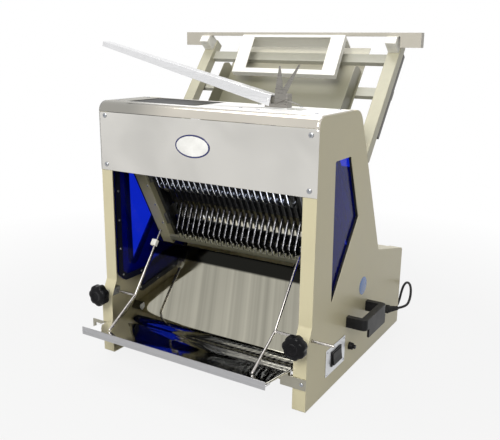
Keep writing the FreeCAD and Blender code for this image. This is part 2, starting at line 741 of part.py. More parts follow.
keep("bearing_blocks", group(both_sides(bearing()) + both_sides(rod_pivot_block())))
keep("drive_belt", belt())
keep("motor", motor())
keep("motor_mount", motor_mount())
MOTOR_SHAFT = x_rod(MOTOR_X1 - 38, PULLEY_X + PULLEY_T, MOTOR_Y, MOTOR_Z, ROTOR_R)
MOTOR_WHEEL = grooved_pulley(PULLEY_X, MOTOR_Y, MOTOR_Z, MOTOR_PULLEY_R, ROTOR_R)
keep("motor_pulley", group([MOTOR_SHAFT, MOTOR_WHEEL]))


# ---------------------------------------------------------------- feed trough
def feed_end_u():
    """Where the feed floor stops, just behind the blades: n of that edge is BLADE_N + BLADE_W + 4."""
    n = BLADE_N + BLADE_W + 4
    drop = SIN_F * COS_B + COS_F * SIN_B
    start_n = COS_B * (FEED_Y - RAIL_Y) + SIN_B * (FEED_Z - RAIL_Z)
    return (n - start_n) / drop


FEED_END_U = feed_end_u()
RAIL_LOW_U = -66.0
BEAM_HALF = HALF - FEED_RAIL_W
STRIP_H = 12.0


def feed_floor():
    """Painted floor sheet that the loaf slides down."""
    return feed_block(FEED_END_U, FEED_TOP_U, -THIN, 0, -FEED_HALF, FEED_HALF)


def feed_fence():
    """Side fence on the floor, cut upright at its front end."""
    low_u, x0 = FEED_END_U + 34, FEED_HALF - FENCE_INSET
    outline = [(low_u, 0), (FENCE_TOP_U, 0), (FENCE_TOP_U, FENCE_H - 18),
               (FENCE_TOP_U - 14, FENCE_H), (low_u + 62, FENCE_H), (low_u, 24)]
    return tilted(outline, feed_point, x0, x0 + THIN, [0, 0, 10, 10, 16, 8])


def feed_rail():
    """Painted rail beside the trough, standing on the housing's rear edge and carrying the pusher."""
    wall = 3.0
    body = feed_block(RAIL_LOW_U, FEED_TOP_U, 0, FEED_RAIL_V, BEAM_HALF, HALF)
    hollow = feed_block(RAIL_LOW_U - 1, FEED_TOP_U + 1, wall, FEED_RAIL_V - wall, BEAM_HALF + wall, HALF - wall)
    body = body.cut(hollow)
    housing = plate(HOUSING, INNER - 5, HALF + 5, HOUSING_RADII)
    return body.cut(housing).Solids[0]


def rail_strip():
    """Dark strip along the underside of a feed rail."""
    return feed_block(RAIL_LOW_U + 70, FEED_TOP_U - 16, -STRIP_H, 0, HALF - 8, HALF)


def feed_beams():
    """Cross members: one on the floor at the top, one under it and one inside the housings."""
    top = feed_block(BEAM_TOP_U - BEAM_W, BEAM_TOP_U, 0, BEAM_H, -BEAM_HALF, BEAM_HALF)
    under = -THIN - BEAM_H
    low = feed_block(BEAM_LOW_U - BEAM_W, BEAM_LOW_U, under, -THIN, -BEAM_HALF, BEAM_HALF)
    for side in (-1, 1):
        x0, x1 = sorted((side * BEAM_HALF, side * HALF))
        low = low.fuse(feed_block(BEAM_LOW_U - BEAM_W, BEAM_LOW_U, under, -STRIP_H, x0, x1))
    inside = feed_block(-204, -180, under, -THIN, -RAIL_OUT, RAIL_OUT)
    return [top, low.removeSplitter(), inside]


keep("feed_floor", feed_floor())
keep("feed_fences", group(both_sides(feed_fence())))
keep("feed_rails", group(both_sides(feed_rail())))
keep("feed_rail_strips", group(both_sides(rail_strip())))
keep("feed_cross_beams", group(feed_beams()))


# ---------------------------------------------------------------- pusher
def pusher_tray():
    """Weight that follows the loaf: a windowed frame with shallow sides, on an upper wall that clears the beam."""
    u0, u1 = PUSHER_U - PUSHER_L, PUSHER_U
    wall, border_x, border_low, border_top = 4.0, 37.0, 13.0, 7.0
    outer = [(u0, PUSHER_LOW_V - PUSHER_RIM), (u1 - wall, PUSHER_V - PUSHER_RIM), (u1 - wall, BEAM_H + SLIDE_GAP + 2),
             (u1, BEAM_H + SLIDE_GAP + 2), (u1, PUSHER_V), (u0, PUSHER_LOW_V)]
    inner = [(u0 + wall, -wall), (u1 - wall, -wall), (u1 - wall, PUSHER_V - wall), (u0 + wall, PUSHER_LOW_V - wall)]
    body = tilted(outer, feed_point, -PUSHER_HALF, PUSHER_HALF)
    body = body.cut(tilted(inner, feed_point, -PUSHER_HALF + wall, PUSHER_HALF - wall))
    window = feed_block(u0 + border_low, u1 - border_top, PUSHER_LOW_V - 2 * wall, PUSHER_V + 1,
                        -PUSHER_HALF + border_x, PUSHER_HALF - border_x)
    return body.cut(window)


HANDLE_Y, HANDLE_TOP_Z = feed_point(PUSHER_U, PUSHER_V - 4)
HANDLE_TOP_Z += 8.0
PAD_W = 26.0


def pusher_handle():
    """Cross handle over the rails: a flat bar with a deep block at each end, outside the rails."""
    y0, y1 = HANDLE_Y, HANDLE_Y + HANDLE_D
    low_z = HANDLE_TOP_Z - HANDLE_H
    beam = box(-HALF - HANDLE_REACH, HALF + HANDLE_REACH, y0, y1, low_z, HANDLE_TOP_Z)
    gap = HALF + 3.0
    beam = beam.cut(box(-gap, gap, y0 - 1, y1 + 1, low_z - 1, HANDLE_TOP_Z - HANDLE_WEB))
    sled = feed_block(PUSHER_U - PUSHER_L, PUSHER_U, -PUSHER_V, PUSHER_V + 1, -PUSHER_HALF, PUSHER_HALF)
    return beam.cut(sled)


def pusher_pad():
    """Nylon block that carries the handle on a rail."""
    x1 = HALF - 2.0
    block = feed_block(PUSHER_U - 24, PUSHER_U + 8, FEED_RAIL_V + SLIDE_GAP, PUSHER_V, x1 - PAD_W, x1)
    above = box(x1 - PAD_W - 1, x1 + 1, HANDLE_Y - 99, HANDLE_Y + 99, HANDLE_TOP_Z - HANDLE_WEB, HANDLE_TOP_Z + 99)
    return block.cut(above)


keep("pusher_tray", pusher_tray())
keep("pusher_handle", pusher_handle())
keep("pusher_pads", group(both_sides(pusher_pad())))


# ---------------------------------------------------------------- discharge chute, tray and lip
def chute_path():
    """Front to back: tray that falls to the rear, one bend, then a straight slope up to the lower comb."""
    front = (LIP_Y + 2, LIP_TOP_Z - LIP_RISE)
    bar_y, bar_z = blade_point(COMB_END_S, -COMB_PROUD)
    top = (bar_y - CHUTE_AIR, bar_z - CHUTE_DROP)
    fall, rise = math.tan(TRAY_FALL), math.tan(CHUTE_TILT)
    corner_y = (front[1] - top[1] + fall * front[0] + rise * top[0]) / (rise + fall)
    return [front, (corner_y, front[1] - fall * (corner_y - front[0])), top]


CHUTE_PATH = chute_path()


def tray_top_z(y):
    """Height of the tray's upper face."""
    return CHUTE_PATH[0][1] - math.tan(TRAY_FALL) * (y - CHUTE_PATH[0][0])


def chute_sheet(half):
    """The chute's sheet, out to a half width."""
    return bent_sheet(CHUTE_PATH, -THIN, -half, half, [CHUTE_R])


def chute_wall():
    """Cheek under the edge of the chute, with a tab behind the leg's front face."""
    path = [(SHEET, tray_top_z(SHEET))] + CHUTE_PATH[1:]
    cheek = bent_sheet(path, -CHEEK_DEPTH, TRAY_HALF, TRAY_HALF + THIN, [CHUTE_R])
    tab_top = tray_top_z(SHEET) - THIN - 1
    tab = box(TRAY_HALF, INNER + 12, SHEET, SHEET + THIN, tab_top - 13, tab_top)
    return cheek.fuse(tab).cut(chute_sheet(TRAY_HALF)).removeSplitter()


def tray_lip():
    """Angle along the front edge of the tray, with its foot under the sheet."""
    thick = 2.0
    face = box(-TRAY_HALF, TRAY_HALF, LIP_Y, LIP_Y + thick, LIP_TOP_Z - LIP_H, LIP_TOP_Z)
    line = [(y, tray_top_z(y)) for y in (LIP_Y, LIP_Y + 22)]
    foot_plate = bent_sheet(line, -THIN - thick, -TRAY_HALF, TRAY_HALF, [])
    return face.fuse(foot_plate).cut(chute_sheet(TRAY_HALF + 1)).removeSplitter()


STRAP_LOW_Z = 56.0
STRAP_H = 25.0
STRAP_T = 3.0


def tray_strap(outer_x):
    """Strap across the front of a leg, from a tab under the tray to the outer face of the leg."""
    z1 = STRAP_LOW_Z + STRAP_H
    strip = box(TRAY_HALF - 22, outer_x, -STRAP_T, 0, STRAP_LOW_Z, z1)
    under = tray_top_z(0) - THIN - 0.4
    tab = box(TRAY_HALF - 22, TRAY_HALF - 4, -STRAP_T, 0, STRAP_LOW_Z, under)
    line = [(-26, tray_top_z(-26)), (0, tray_top_z(0))]
    below = shifted_line(line, -THIN - 0.1)
    ledge = bent_sheet(below, -2.0, TRAY_HALF - 22, TRAY_HALF - 4, [])
    return strip.fuse(tab).fuse(ledge).removeSplitter()


RIGHT_STRAP = tray_strap(HALF)
LEFT_STRAP = tray_strap(HALF + 32).mirror(V(0, 0, 0), V(1, 0, 0))
LEFT_STRAP = LEFT_STRAP.cut(box(-HALF - 24, -HALF - 8, -STRAP_T - 1, 1, STRAP_LOW_Z + 8, STRAP_LOW_Z + 17))
keep("discharge_chute", chute_sheet(TRAY_HALF))
keep("chute_walls", group(both_sides(chute_wall())))
keep("tray_lip", tray_lip())
keep("tray_straps", group([RIGHT_STRAP, LEFT_STRAP]))


# ---------------------------------------------------------------- guide rods and clamp knobs
ROD_LOW_Y = -70.0
ROD_LOW = (ROD_LOW_Y, tray_top_z(ROD_LOW_Y) + ROD_R + 0.3)
ROD_TOP = (124.0, 298.0)
CLIP_L = 16.0                        # nylon clip on the left rod
CLIP_DROP = 26.0                     # from the rod's top end
CLIP_HALF = 6.0
CLIP_X = (-3.8, 11.0)                # from the rod, outwards


def guide_rod(side, stub_end):
    """Bent rod beside the slices: lower and upper run, and a stub through the leg as its pivot."""
    knee = V(side * ROD_X, PIVOT_Y, PIVOT_Z)
    low, top = V(side * ROD_X, *ROD_LOW), V(side * ROD_X, *ROD_TOP)
    body = rod(low, knee, ROD_R).fuse(rod(knee, top, ROD_R)).fuse(rod(knee, V(side * stub_end, PIVOT_Y, PIVOT_Z), ROD_R))
    for end in (knee, low, top):
        body = body.fuse(Part.makeSphere(ROD_R, end))
    return body.removeSplitter()


def rod_clip(side):
    """Nylon block on the upper run of a guide rod, mostly on its outer side."""
    knee, top = V(0, PIVOT_Y, PIVOT_Z), V(0, *ROD_TOP)
    along = (top - knee).normalize()
    across = V(0, -along.z, along.y) * CLIP_HALF
    low = top - along * (CLIP_L + CLIP_DROP)
    high = low + along * CLIP_L
    outline = [(p.y, p.z) for p in (low - across, high - across, high + across, low + across)]
    x0, x1 = sorted(side * (ROD_X + edge) for edge in CLIP_X)
    on_rod = V(side * ROD_X, 0, 0)
    return plate(outline, x0, x1, 2).cut(rod(low - along + on_rod, high + along + on_rod, ROD_R))


def clamp_knob(side):
    """Lobed knob on a stud that reaches into the leg."""
    x = side * KNOB_X
    body = Part.makeCylinder(KNOB_R - 2.5, KNOB_T, V(x, KNOB_Y - KNOB_T / 2, PIVOT_Z), V(0, 1, 0))
    lobes, lobe_r = 7, 8.5
    reach = KNOB_R - lobe_r
    for i in range(int(lobes)):
        angle = 2 * math.pi * i / lobes
        centre = V(x + reach * math.cos(angle), KNOB_Y - KNOB_T / 2 + 2, PIVOT_Z + reach * math.sin(angle))
        body = body.fuse(Part.makeCylinder(lobe_r, KNOB_T - 6, centre, V(0, 1, 0)))
    neck = Part.makeCylinder(9, 8, V(x, KNOB_Y + KNOB_T / 2, PIVOT_Z), V(0, 1, 0))
    stud = y_rod(x, KNOB_Y, KNOB_STUD_END, PIVOT_Z, KNOB_STUD_R)
    return body.fuse(neck).fuse(stud).removeSplitter()


keep("right_guide_rod", guide_rod(1, HALF + ROD_STUB))
keep("left_guide_rod", group([guide_rod(-1, HALF - SHEET + 1), rod_clip(-1)]))
keep("right_clamp_knob", clamp_knob(1))
keep("left_clamp_knob", clamp_knob(-1))

for node in ("right_side_housing", "left_side_housing"):
    side = 1 if node.startswith("right") else -1
    hole = y_rod(side * KNOB_X, -1, KNOB_STUD_END + PLAY, PIVOT_Z, KNOB_STUD_R + FIT)
    PIECES[node] = PIECES[node].cut(hole)


# ---------------------------------------------------------------- bagging arm on the top cover
ARM_FRONT_Y = 93.0
ARM_D = 26.0
ARM_PIN = V(HALF - 158.0, ARM_FRONT_Y + ARM_D / 2, TOP_Z + 20.0)
ARM_TIP = V(-HALF - 51.0, ARM_PIN.y, ARM_PIN.z + 108.0)
ARM_ROOT_H = 24.0
ARM_TIP_H = 11.0
ARM_PIN_R = 3.0
BLOCK_L = 46.0                       # pin to the far end of the block
BLOCK_H = 30.0
PRONGS = [((16, 0), (36, 0), (27.5, 56), (25, 56)), ((27, 0), (42, 0), (73, 60), (70, 60))]
TONGUE = [(14, 12), (44, 23), (77, 14)]


def y_plate(points, y0, y1):
    """Plate between two y planes, with an (x, z) outline."""
    corners = [V(x, y0, z) for x, z in points]
    return Part.Face(Part.makePolygon(corners + corners[:1])).extrude(V(0, y1 - y0, 0))


def arm_bracket():
    """Block on the top cover that fits inside the arm's end and holds its pin, with two upright prongs."""
    inside = THIN + PLAY
    y0, y1 = ARM_FRONT_Y + inside, ARM_FRONT_Y + ARM_D - inside
    foot_z = TOP_Z + 2 * THIN
    block_x1, block_top_z = ARM_PIN.x + BLOCK_L, foot_z + BLOCK_H
    base = box(ARM_PIN.x - 14, block_x1 + 30, y0 - 12, y1 + 12, TOP_Z + THIN, foot_z)
    ear = box(ARM_PIN.x - 7, ARM_PIN.x + 7, y0, y1, foot_z, ARM_PIN.z + 6)
    bridge = box(ARM_PIN.x - 7, block_x1, y0, y1, foot_z, ARM_PIN.z - 8)
    tower = box(ARM_PIN.x + 16, block_x1, y0, y1, foot_z, block_top_z)
    body = base.fuse(ear).fuse(bridge).fuse(tower)
    for prong in PRONGS:
        body = body.fuse(y_plate([(ARM_PIN.x + x, block_top_z + z) for x, z in prong], y0, y0 + 2 * THIN))
    upper = [(ARM_PIN.x + x, TOP_Z + z) for x, z in TONGUE]
    tongue = upper + [(x, z - THIN) for x, z in upper[::-1]]
    body = body.fuse(y_plate(tongue, ARM_FRONT_Y - 8, y0))
    return body.removeSplitter().cut(y_rod(ARM_PIN.x, 0, DEPTH, ARM_PIN.z, ARM_PIN_R + FIT))


def bagging_arm():
    """Long tapered channel, open underneath, that swings up on its pin."""
    along = (ARM_TIP - ARM_PIN).normalize()
    up = V(-along.z, 0, along.x) * (-1 if along.x < 0 else 1)
    half = V(0, ARM_D / 2, 0)

    def corners(inset, drop):
        root = ARM_PIN - along * (0 if inset else 7)
        low, high = ARM_ROOT_H / 2 + drop, ARM_ROOT_H / 2 - inset
        tip_low, tip_high = ARM_TIP_H / 2 + drop, ARM_TIP_H / 2 - inset
        if inset:
            root = ARM_PIN - along * 8
        tip = ARM_TIP - along * inset
        return [root - up * low, tip - up * tip_low, tip + up * tip_high, root + up * high]

    def channel(inset, drop, margin):
        points = [p - half + V(0, margin, 0) for p in corners(inset, drop)]
        return Part.Face(Part.makePolygon(points + points[:1])).extrude(V(0, ARM_D - 2 * margin, 0))

    body = channel(0, 0, 0).cut(channel(THIN, 1, THIN))
    pin = y_rod(ARM_PIN.x, ARM_FRONT_Y - 1.5, ARM_FRONT_Y + ARM_D + 1.5, ARM_PIN.z, ARM_PIN_R)
    return body.fuse(pin).removeSplitter()


keep("arm_bracket", arm_bracket())
keep("bagging_arm", bagging_arm())


# ---------------------------------------------------------------- right side fittings
SWITCH_PLATE = (94.0, 196.0, 43.0, 107.0)
ROCKER = (124.0, 168.0, 62.0, 90.0)
ROCKER_AXIS_X = HALF + 2.2
ROCKER_PIN_R = 0.9
ROCKER_PIN_L = 1.2                   # pin past each end of the rocker
BEZEL = 3.5
SWITCH_DEPTH = 24.0
BREAKER_Y = 226.0
BREAKER_Z = 68.0


def switch_plate():
    """Aluminium plate on the right housing with the rocker's opening."""
    y0, y1, z0, z1 = SWITCH_PLATE
    body = box(HALF, HALF + THIN, y0, y1, z0, z1)
    return body.cut(switch_body(SLIDE_GAP, HALF - 1, HALF + 5))


def switch_bezel():
    """Black frame round the rocker, with the switch's body behind it, through the plate and the skin."""
    y0, y1, z0, z1 = ROCKER
    rim = box(HALF + THIN, HALF + THIN + 2.5, y0 - BEZEL, y1 + BEZEL, z0 - BEZEL, z1 + BEZEL)
    body = switch_body(0, HALF - SWITCH_DEPTH, HALF + THIN)
    air = 0.4
    well = box(HALF - SWITCH_DEPTH + 4, HALF + 9, y0 - air, y1 + air, z0 - air, z1 + air)
    pivot = y_rod(ROCKER_AXIS_X, y0 - ROCKER_PIN_L - FIT, y1 + ROCKER_PIN_L + FIT, (z0 + z1) / 2, ROCKER_PIN_R + FIT)
    return rim.fuse(body).removeSplitter().cut(well).cut(pivot)


def switch_body(margin, x0, x1):
    """Block of the switch's body, grown by a margin on its four long sides."""
    y0, y1, z0, z1 = ROCKER
    grow = BEZEL - 1.3 + margin
    return box(x0, x1, y0 - grow, y1 + grow, z0 - grow, z1 + grow)


def rocker():
    """Rocker that tips about a Y axis."""
    y0, y1, z0, z1 = ROCKER
    middle = (z0 + z1) / 2
    half = (z1 - z0) / 2 - 0.6
    wire = Part.makePolygon([V(HALF + 3, y0, middle - half), V(HALF + 8.5, y0, middle - half), V(HALF + 6.2, y0, middle),
                             V(HALF + 5.2, y0, middle + half), V(HALF + 3, y0, middle + half), V(HALF + 1.8, y0, middle),
                             V(HALF + 3, y0, middle - half)])
    body = Part.Face(wire).extrude(V(0, y1 - y0, 0))
    return body.fuse(y_rod(ROCKER_AXIS_X, y0 - ROCKER_PIN_L, y1 + ROCKER_PIN_L, middle, ROCKER_PIN_R))


def round_fitting(x0, x1, y, z, r0, r1, bore=0.0):
    """Turned fitting on the right skin, tapering from r0 to r1."""
    body = x_rod(x0, x1, y, z, r0) if r0 == r1 else Part.makeCone(r0, r1, x1 - x0, V(x0, y, z), V(1, 0, 0))
    return body.cut(x_rod(x0 - 1, x1 + 1, y, z, bore)) if bore else body


HANDLE_Y0 = 199.0
HANDLE_Y1 = 331.0
HANDLE_Z0 = 124.0
HANDLE_Z1 = 149.0
FLAG_H = 22.0
HANDLE_X = HALF + 49.0


def carry_handle():
    """Black moulded U handle with a lower flag on its outer bar."""
    path_wall = 16.0
    outer = box(HALF, HANDLE_X, HANDLE_Y0, HANDLE_Y1, HANDLE_Z0, HANDLE_Z1)
    corners = [e for e in outer.Edges
               if abs(e.Vertexes[0].X - HANDLE_X) < 1e-6 and abs(e.Vertexes[1].X - HANDLE_X) < 1e-6
               and abs(e.Vertexes[0].Z - e.Vertexes[1].Z) > 1]
    outer = outer.makeFillet(12, corners)
    inner = box(HALF - 1, HANDLE_X - path_wall, HANDLE_Y0 + 14, HANDLE_Y1 - 14, HANDLE_Z0 - 1, HANDLE_Z1 + 1)
    flag = box(HANDLE_X - 5, HANDLE_X, HANDLE_Y0 + 22, HANDLE_Y1 - 6, HANDLE_Z0 - FLAG_H, HANDLE_Z0)
    return outer.cut(inner).fuse(flag).removeSplitter()


LABEL_Y, LABEL_Z, LABEL_R = 293.0, 196.0, 22.0
PIECES["right_side_housing"] = PIECES["right_side_housing"].cut(switch_body(SLIDE_GAP, HALF - 9, HALF + 9))
keep("switch_plate", switch_plate())
keep("switch_bezel", switch_bezel())
keep("rocker_switch", rocker())
keep("breaker_body", round_fitting(HALF, HALF + 10, BREAKER_Y, BREAKER_Z, 9, 8, 5.4))
keep("reset_button", x_rod(HALF + 4, HALF + 16, BREAKER_Y, BREAKER_Z, 5))
keep("carry_handle", carry_handle())
keep("blank_labels", group([badge(), x_rod(HALF, HALF + 0.6, LABEL_Y, LABEL_Z, LABEL_R)]))


# ---------------------------------------------------------------- mains cord
RELIEF_AXIS = V(math.cos(RELIEF_TURN), math.sin(RELIEF_TURN), 0)
RELIEF_ROOT = V(HALF + 7, RELIEF_Y, RELIEF_Z)
CORD_EXIT = RELIEF_ROOT + RELIEF_AXIS * RELIEF_L
COIL_MEAN_R = 37.5
COIL_ROWS = 3
COIL_LAYERS = 2
COIL_CENTRE = V(HALF - 160.0, DEPTH + 72.0, 0)
COIL_OUT_R = COIL_MEAN_R + COIL_ROWS * CORD_R
COIL_H = 2 * CORD_R * COIL_LAYERS
COIL_TRACK_R = COIL_OUT_R - CORD_R
TAIL_L = 30.0
PLUG_L = 38.0
PLUG_HALF_H = 11.0
PLUG_BACK = COIL_CENTRE + V(COIL_OUT_R - 10 + TAIL_L, COIL_TRACK_R, 0)


def strain_relief():
    """Nut on the housing and a tapered sleeve that turns the cord towards the rear."""
    nut = x_rod(HALF, HALF + 9, RELIEF_Y, RELIEF_Z, 11.5)
    sleeve = Part.makeCone(9.5, CORD_R + 2.2, RELIEF_L, RELIEF_ROOT, RELIEF_AXIS)
    knee = Part.makeSphere(9.5, RELIEF_ROOT)
    outside = box(HALF, HALF + 60, RELIEF_Y - 40, RELIEF_Y + 60, RELIEF_Z - 30, RELIEF_Z + 30)
    body = nut.fuse(knee).fuse(sleeve).common(outside).removeSplitter()
    return body.cut(Part.makeCylinder(CORD_R, RELIEF_L, RELIEF_ROOT, RELIEF_AXIS))


REAR_CORNER = V(HALF, DEPTH, 0)
CORD_ROUTE = [CORD_EXIT - RELIEF_AXIS * 6, CORD_EXIT + RELIEF_AXIS * 25]
CORD_ROUTE += [REAR_CORNER + V(*offset) for offset in (
    (44, -40, 89), (39, -18, 109), (28, 3, 119), (13, 20, 116), (1, 32, 98), (-6, 39, 74), (-11, 44, 49),
    (-19, 47, 25), (-36, 45, 8), (-62, 37, CORD_R), (-94, 29, CORD_R))]
CORD_ROUTE += [COIL_CENTRE + V(x, -COIL_TRACK_R, CORD_R) for x in (32, 0)]


def cord_tube(points):
    """Tube of straight runs and tangent arcs; prints the radius of each bend and checks the volume."""
    edges = []
    radii = []
    start = points[0]
    for before, corner, after in zip(points, points[1:], points[2:]):
        shorter = min((corner - before).Length, (after - corner).Length)
        inward, outward = (before - corner).normalize(), (after - corner).normalize()
        turn = math.pi - inward.getAngle(outward)
        back = 0.45 * shorter
        radius = back / math.tan(turn / 2)
        radii.append(round(radius, 1))
        middle = corner + (inward + outward).normalize() * (radius / math.cos(turn / 2) - radius)
        first, last = corner + inward * back, corner + outward * back
        edges.append(Part.LineSegment(start, first).toShape())
        edges.append(Part.Arc(first, middle, last).toShape())
        start = last
    edges.append(Part.LineSegment(start, points[-1]).toShape())
    path = Part.Wire(edges)
    circle = Part.Wire(Part.makeCircle(CORD_R, points[0], points[1] - points[0]))
    tube = path.makePipeShell([circle], True, False)
    ratio = tube.Volume / (math.pi * CORD_R ** 2 * path.Length)
    print("cord bend radii", radii, "length", round(path.Length, 1), "volume ratio", round(ratio, 4))
    return tube


def cord_tail():
    """End of the cord from the coil up to the plug's neck, behind the coil."""
    start = COIL_CENTRE + V(0, COIL_TRACK_R, CORD_R)
    return rod(start, PLUG_BACK + V(0, 0, PLUG_HALF_H), CORD_R)


def mains_coil():
    """Closed ring that the coiled part of the cord fills."""
    ring = Part.makeCylinder(COIL_OUT_R, COIL_H, COIL_CENTRE)
    return ring.cut(Part.makeCylinder(COIL_MEAN_R - COIL_ROWS * CORD_R, COIL_H, COIL_CENTRE))


def mains_plug():
    """Moulded plug that lies on the floor, with two round pins."""
    back = PLUG_BACK
    half_w, half_h = 17.0, PLUG_HALF_H
    body = box(back.x + 12, back.x + PLUG_L, back.y - half_w, back.y + half_w, 0, 2 * half_h)
    edges = [e for e in body.Edges if abs(e.Vertexes[0].X - e.Vertexes[1].X) > 1]
    body = body.makeFillet(6, edges)
    neck = Part.makeCone(CORD_R + 2, 9, 14, V(back.x, back.y, half_h), V(1, 0, 0))
    body = body.fuse(neck)
    for side in (-1, 1):
        body = body.fuse(x_rod(back.x + PLUG_L, back.x + PLUG_L + 19, back.y + side * 9.5, half_h, 2.4))
    return body.removeSplitter()


keep("strain_relief", strain_relief())
keep("mains_cord", group([cord_tube(CORD_ROUTE), cord_tail()]))
keep("mains_coil", mains_coil())
keep("mains_plug", mains_plug())


# ---------------------------------------------------------------- screws
FRONT_SCREWS = [(side * (HALF - 17.0), z) for side, z in (
    (-1, COVER_TOP_Z - 8), (-1, COVER_LOW_Z + 14), (1, COVER_TOP_Z - 12), (1, COVER_LOW_Z + 14))]
BACK_SCREW_Y = TOP_COVER_END_Y - 12
TOP_SCREWS = [(-HALF + 22, 59.0), (-HALF + 22, BACK_SCREW_Y), (73.0, 68.0), (123.0, 55.0), (HALF - 27, 60.0),
              (60.0, BACK_SCREW_Y), (165.0, BACK_SCREW_Y), (HALF - 27, BACK_SCREW_Y)]


def cover_screws():
    """Front and top cover screws, and the rail bolts."""
    shapes = []
    for x, z in FRONT_SCREWS:
        shapes.append(pan_screw(V(x, COVER_Y, z), V(0, -1, 0), 5.5, 2.6))
    for x, y in TOP_SCREWS:
        shapes.append(pan_screw(V(x, y, TOP_Z + THIN), V(0, 0, 1), 4.0, 1.6))
    for s in (32, 92, 152):
        for side in (-1, 1):
            y, z = blade_point(s, 0)
            shapes.append(pan_screw(V(side * (RAIL_IN + 7), y, z), V(0, -COS_B, -SIN_B), 3.2, 1.6))
    shapes.append(pan_screw(V(HALF - 9, -STRAP_T, STRAP_LOW_Z + STRAP_H / 2), V(0, -1, 0), 4.5, 2.2))
    shapes.append(pan_screw(V(-HALF + 9, -STRAP_T, STRAP_LOW_Z + STRAP_H / 2), V(0, -1, 0), 4.5, 2.2))
    return group(shapes)


def small_screws():
    """Window retainer screws and switch plate screws."""
    shapes = []
    for y, z in retainer_spots():
        for side in (-1, 1):
            shapes.append(pan_screw(V(side * RETAINER_IN, y, z), V(-side, 0, 0), 3.0, 1.4))
    y0, y1, z0, z1 = SWITCH_PLATE
    for y in (y0 + 6, y1 - 6):
        for z in (z0 + 6, z1 - 6):
            shapes.append(pan_screw(V(HALF + THIN, y, z), V(1, 0, 0), 2.6, 1.2))
    return group(shapes)


keep("screws", group([cover_screws(), small_screws()]))


# ---------------------------------------------------------------- write
for name, shape in PIECES.items():
    shape = shape.copy()
    shape.translate(V(0, REAR_SHIFT, 0))
    if not shape.isValid():
        print("INVALID", name)
    shape.exportStep("parts/" + name + ".step")
print(len(PIECES), "nodes")
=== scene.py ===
"""Looks of the bench-top bread slicer: its sheets, blades, knobs, cord, finishes, studio and camera.

Sizes of pieces are written as in the drawing, in millimetres, with y = 0 at the front of the legs, and row()
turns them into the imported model's metres.  Finishes, lamps and the camera are written in those metres.
"""
import json
import math

import bmesh
import bpy
import numpy as np
from mathutils import Matrix, Vector


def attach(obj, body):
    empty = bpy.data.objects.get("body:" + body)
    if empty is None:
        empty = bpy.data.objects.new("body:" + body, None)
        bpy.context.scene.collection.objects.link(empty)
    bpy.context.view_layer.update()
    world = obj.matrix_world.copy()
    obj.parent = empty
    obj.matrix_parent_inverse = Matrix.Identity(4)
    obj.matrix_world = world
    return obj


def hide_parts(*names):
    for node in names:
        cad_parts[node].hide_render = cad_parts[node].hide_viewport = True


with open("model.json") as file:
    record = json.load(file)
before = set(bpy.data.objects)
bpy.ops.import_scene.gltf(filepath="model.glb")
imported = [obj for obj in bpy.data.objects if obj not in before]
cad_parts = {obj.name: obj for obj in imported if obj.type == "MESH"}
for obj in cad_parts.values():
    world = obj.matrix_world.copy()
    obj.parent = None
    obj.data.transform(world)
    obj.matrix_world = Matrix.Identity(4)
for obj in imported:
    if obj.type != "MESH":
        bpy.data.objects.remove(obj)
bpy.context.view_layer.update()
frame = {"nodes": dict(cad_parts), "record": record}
BODY_OF = {name: body for body, names in frame["record"]["behaviour"]["bodies"].items() for name in names}

REAR_SHIFT = -233.0     # from the drawing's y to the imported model's
HALF = 280.0            # half the width over the housings
TOP_Z = 617.0           # upper edge of the housings
COVER_Y = 17.5          # outer face of the front cover
THIN = 1.5              # wall of the folded sheets
FINISH = {}             # every finish under its name


def row(points):
    """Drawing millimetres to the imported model's metres: (p + rear shift along y) / 1000."""
    return (np.asarray(points, float) + (0.0, REAR_SHIFT, 0.0)) / 1000.0


# ---- the blades' slanted system
BLADE_TILT = math.radians(28.3)
SIN_B, COS_B = math.sin(BLADE_TILT), math.cos(BLADE_TILT)
RAIL_Y, RAIL_Z = 91.5, 439.6


def blade_xyz(x, s, n):
    """Place of (x, s, n): from the point (RAIL_Y, RAIL_Z), s runs down the blades and n to their rear."""
    x, s, n = np.broadcast_arrays(np.asarray(x, float), s, n)
    return np.stack([x, RAIL_Y + SIN_B * s + COS_B * n, RAIL_Z - COS_B * s + SIN_B * n], -1)


# ---- lines and outlines
def rounded_path(corners, radii, steps=8):
    """Open line through corner points, each inner corner replaced by a tangent arc.

    The arc of radius r starts r * tan(turn / 2) before the corner; its points are
    start + r * (sin a * into + (1 - cos a) * side)."""
    corners = [np.asarray(corner, float) for corner in corners]
    points = [corners[0][None]]
    for before, corner, after, radius in zip(corners, corners[1:], corners[2:], radii):
        into = (corner - before) / np.linalg.norm(corner - before)
        out = (after - corner) / np.linalg.norm(after - corner)
        turn = math.acos(np.clip(into @ out, -1, 1))
        if radius <= 0 or turn < 1e-4:
            points.append(corner[None])
            continue
        start = corner - into * (radius * math.tan(turn / 2))
        side = out - into * (into @ out)
        side /= np.linalg.norm(side)
        angle = np.linspace(0, turn, steps + 1)[:, None]
        points.append(start + radius * (np.sin(angle) * into + (1 - np.cos(angle)) * side))
    points.append(corners[-1][None])
    return np.concatenate(points)


def run_of(path):
    """Distance along a line at each of its points."""
    return np.concatenate([[0], np.cumsum(np.linalg.norm(np.diff(path, axis=0), axis=1))])


def dense(path, step):
    """The same line with extra points, so that no run is longer than step; its own corners stay."""
    run = run_of(path)
    at = np.unique(np.concatenate([run, np.arange(0, run[-1], step)]).round(6))
    return np.stack([np.interp(at, run, path[:, i]) for i in range(path.shape[1])], -1)


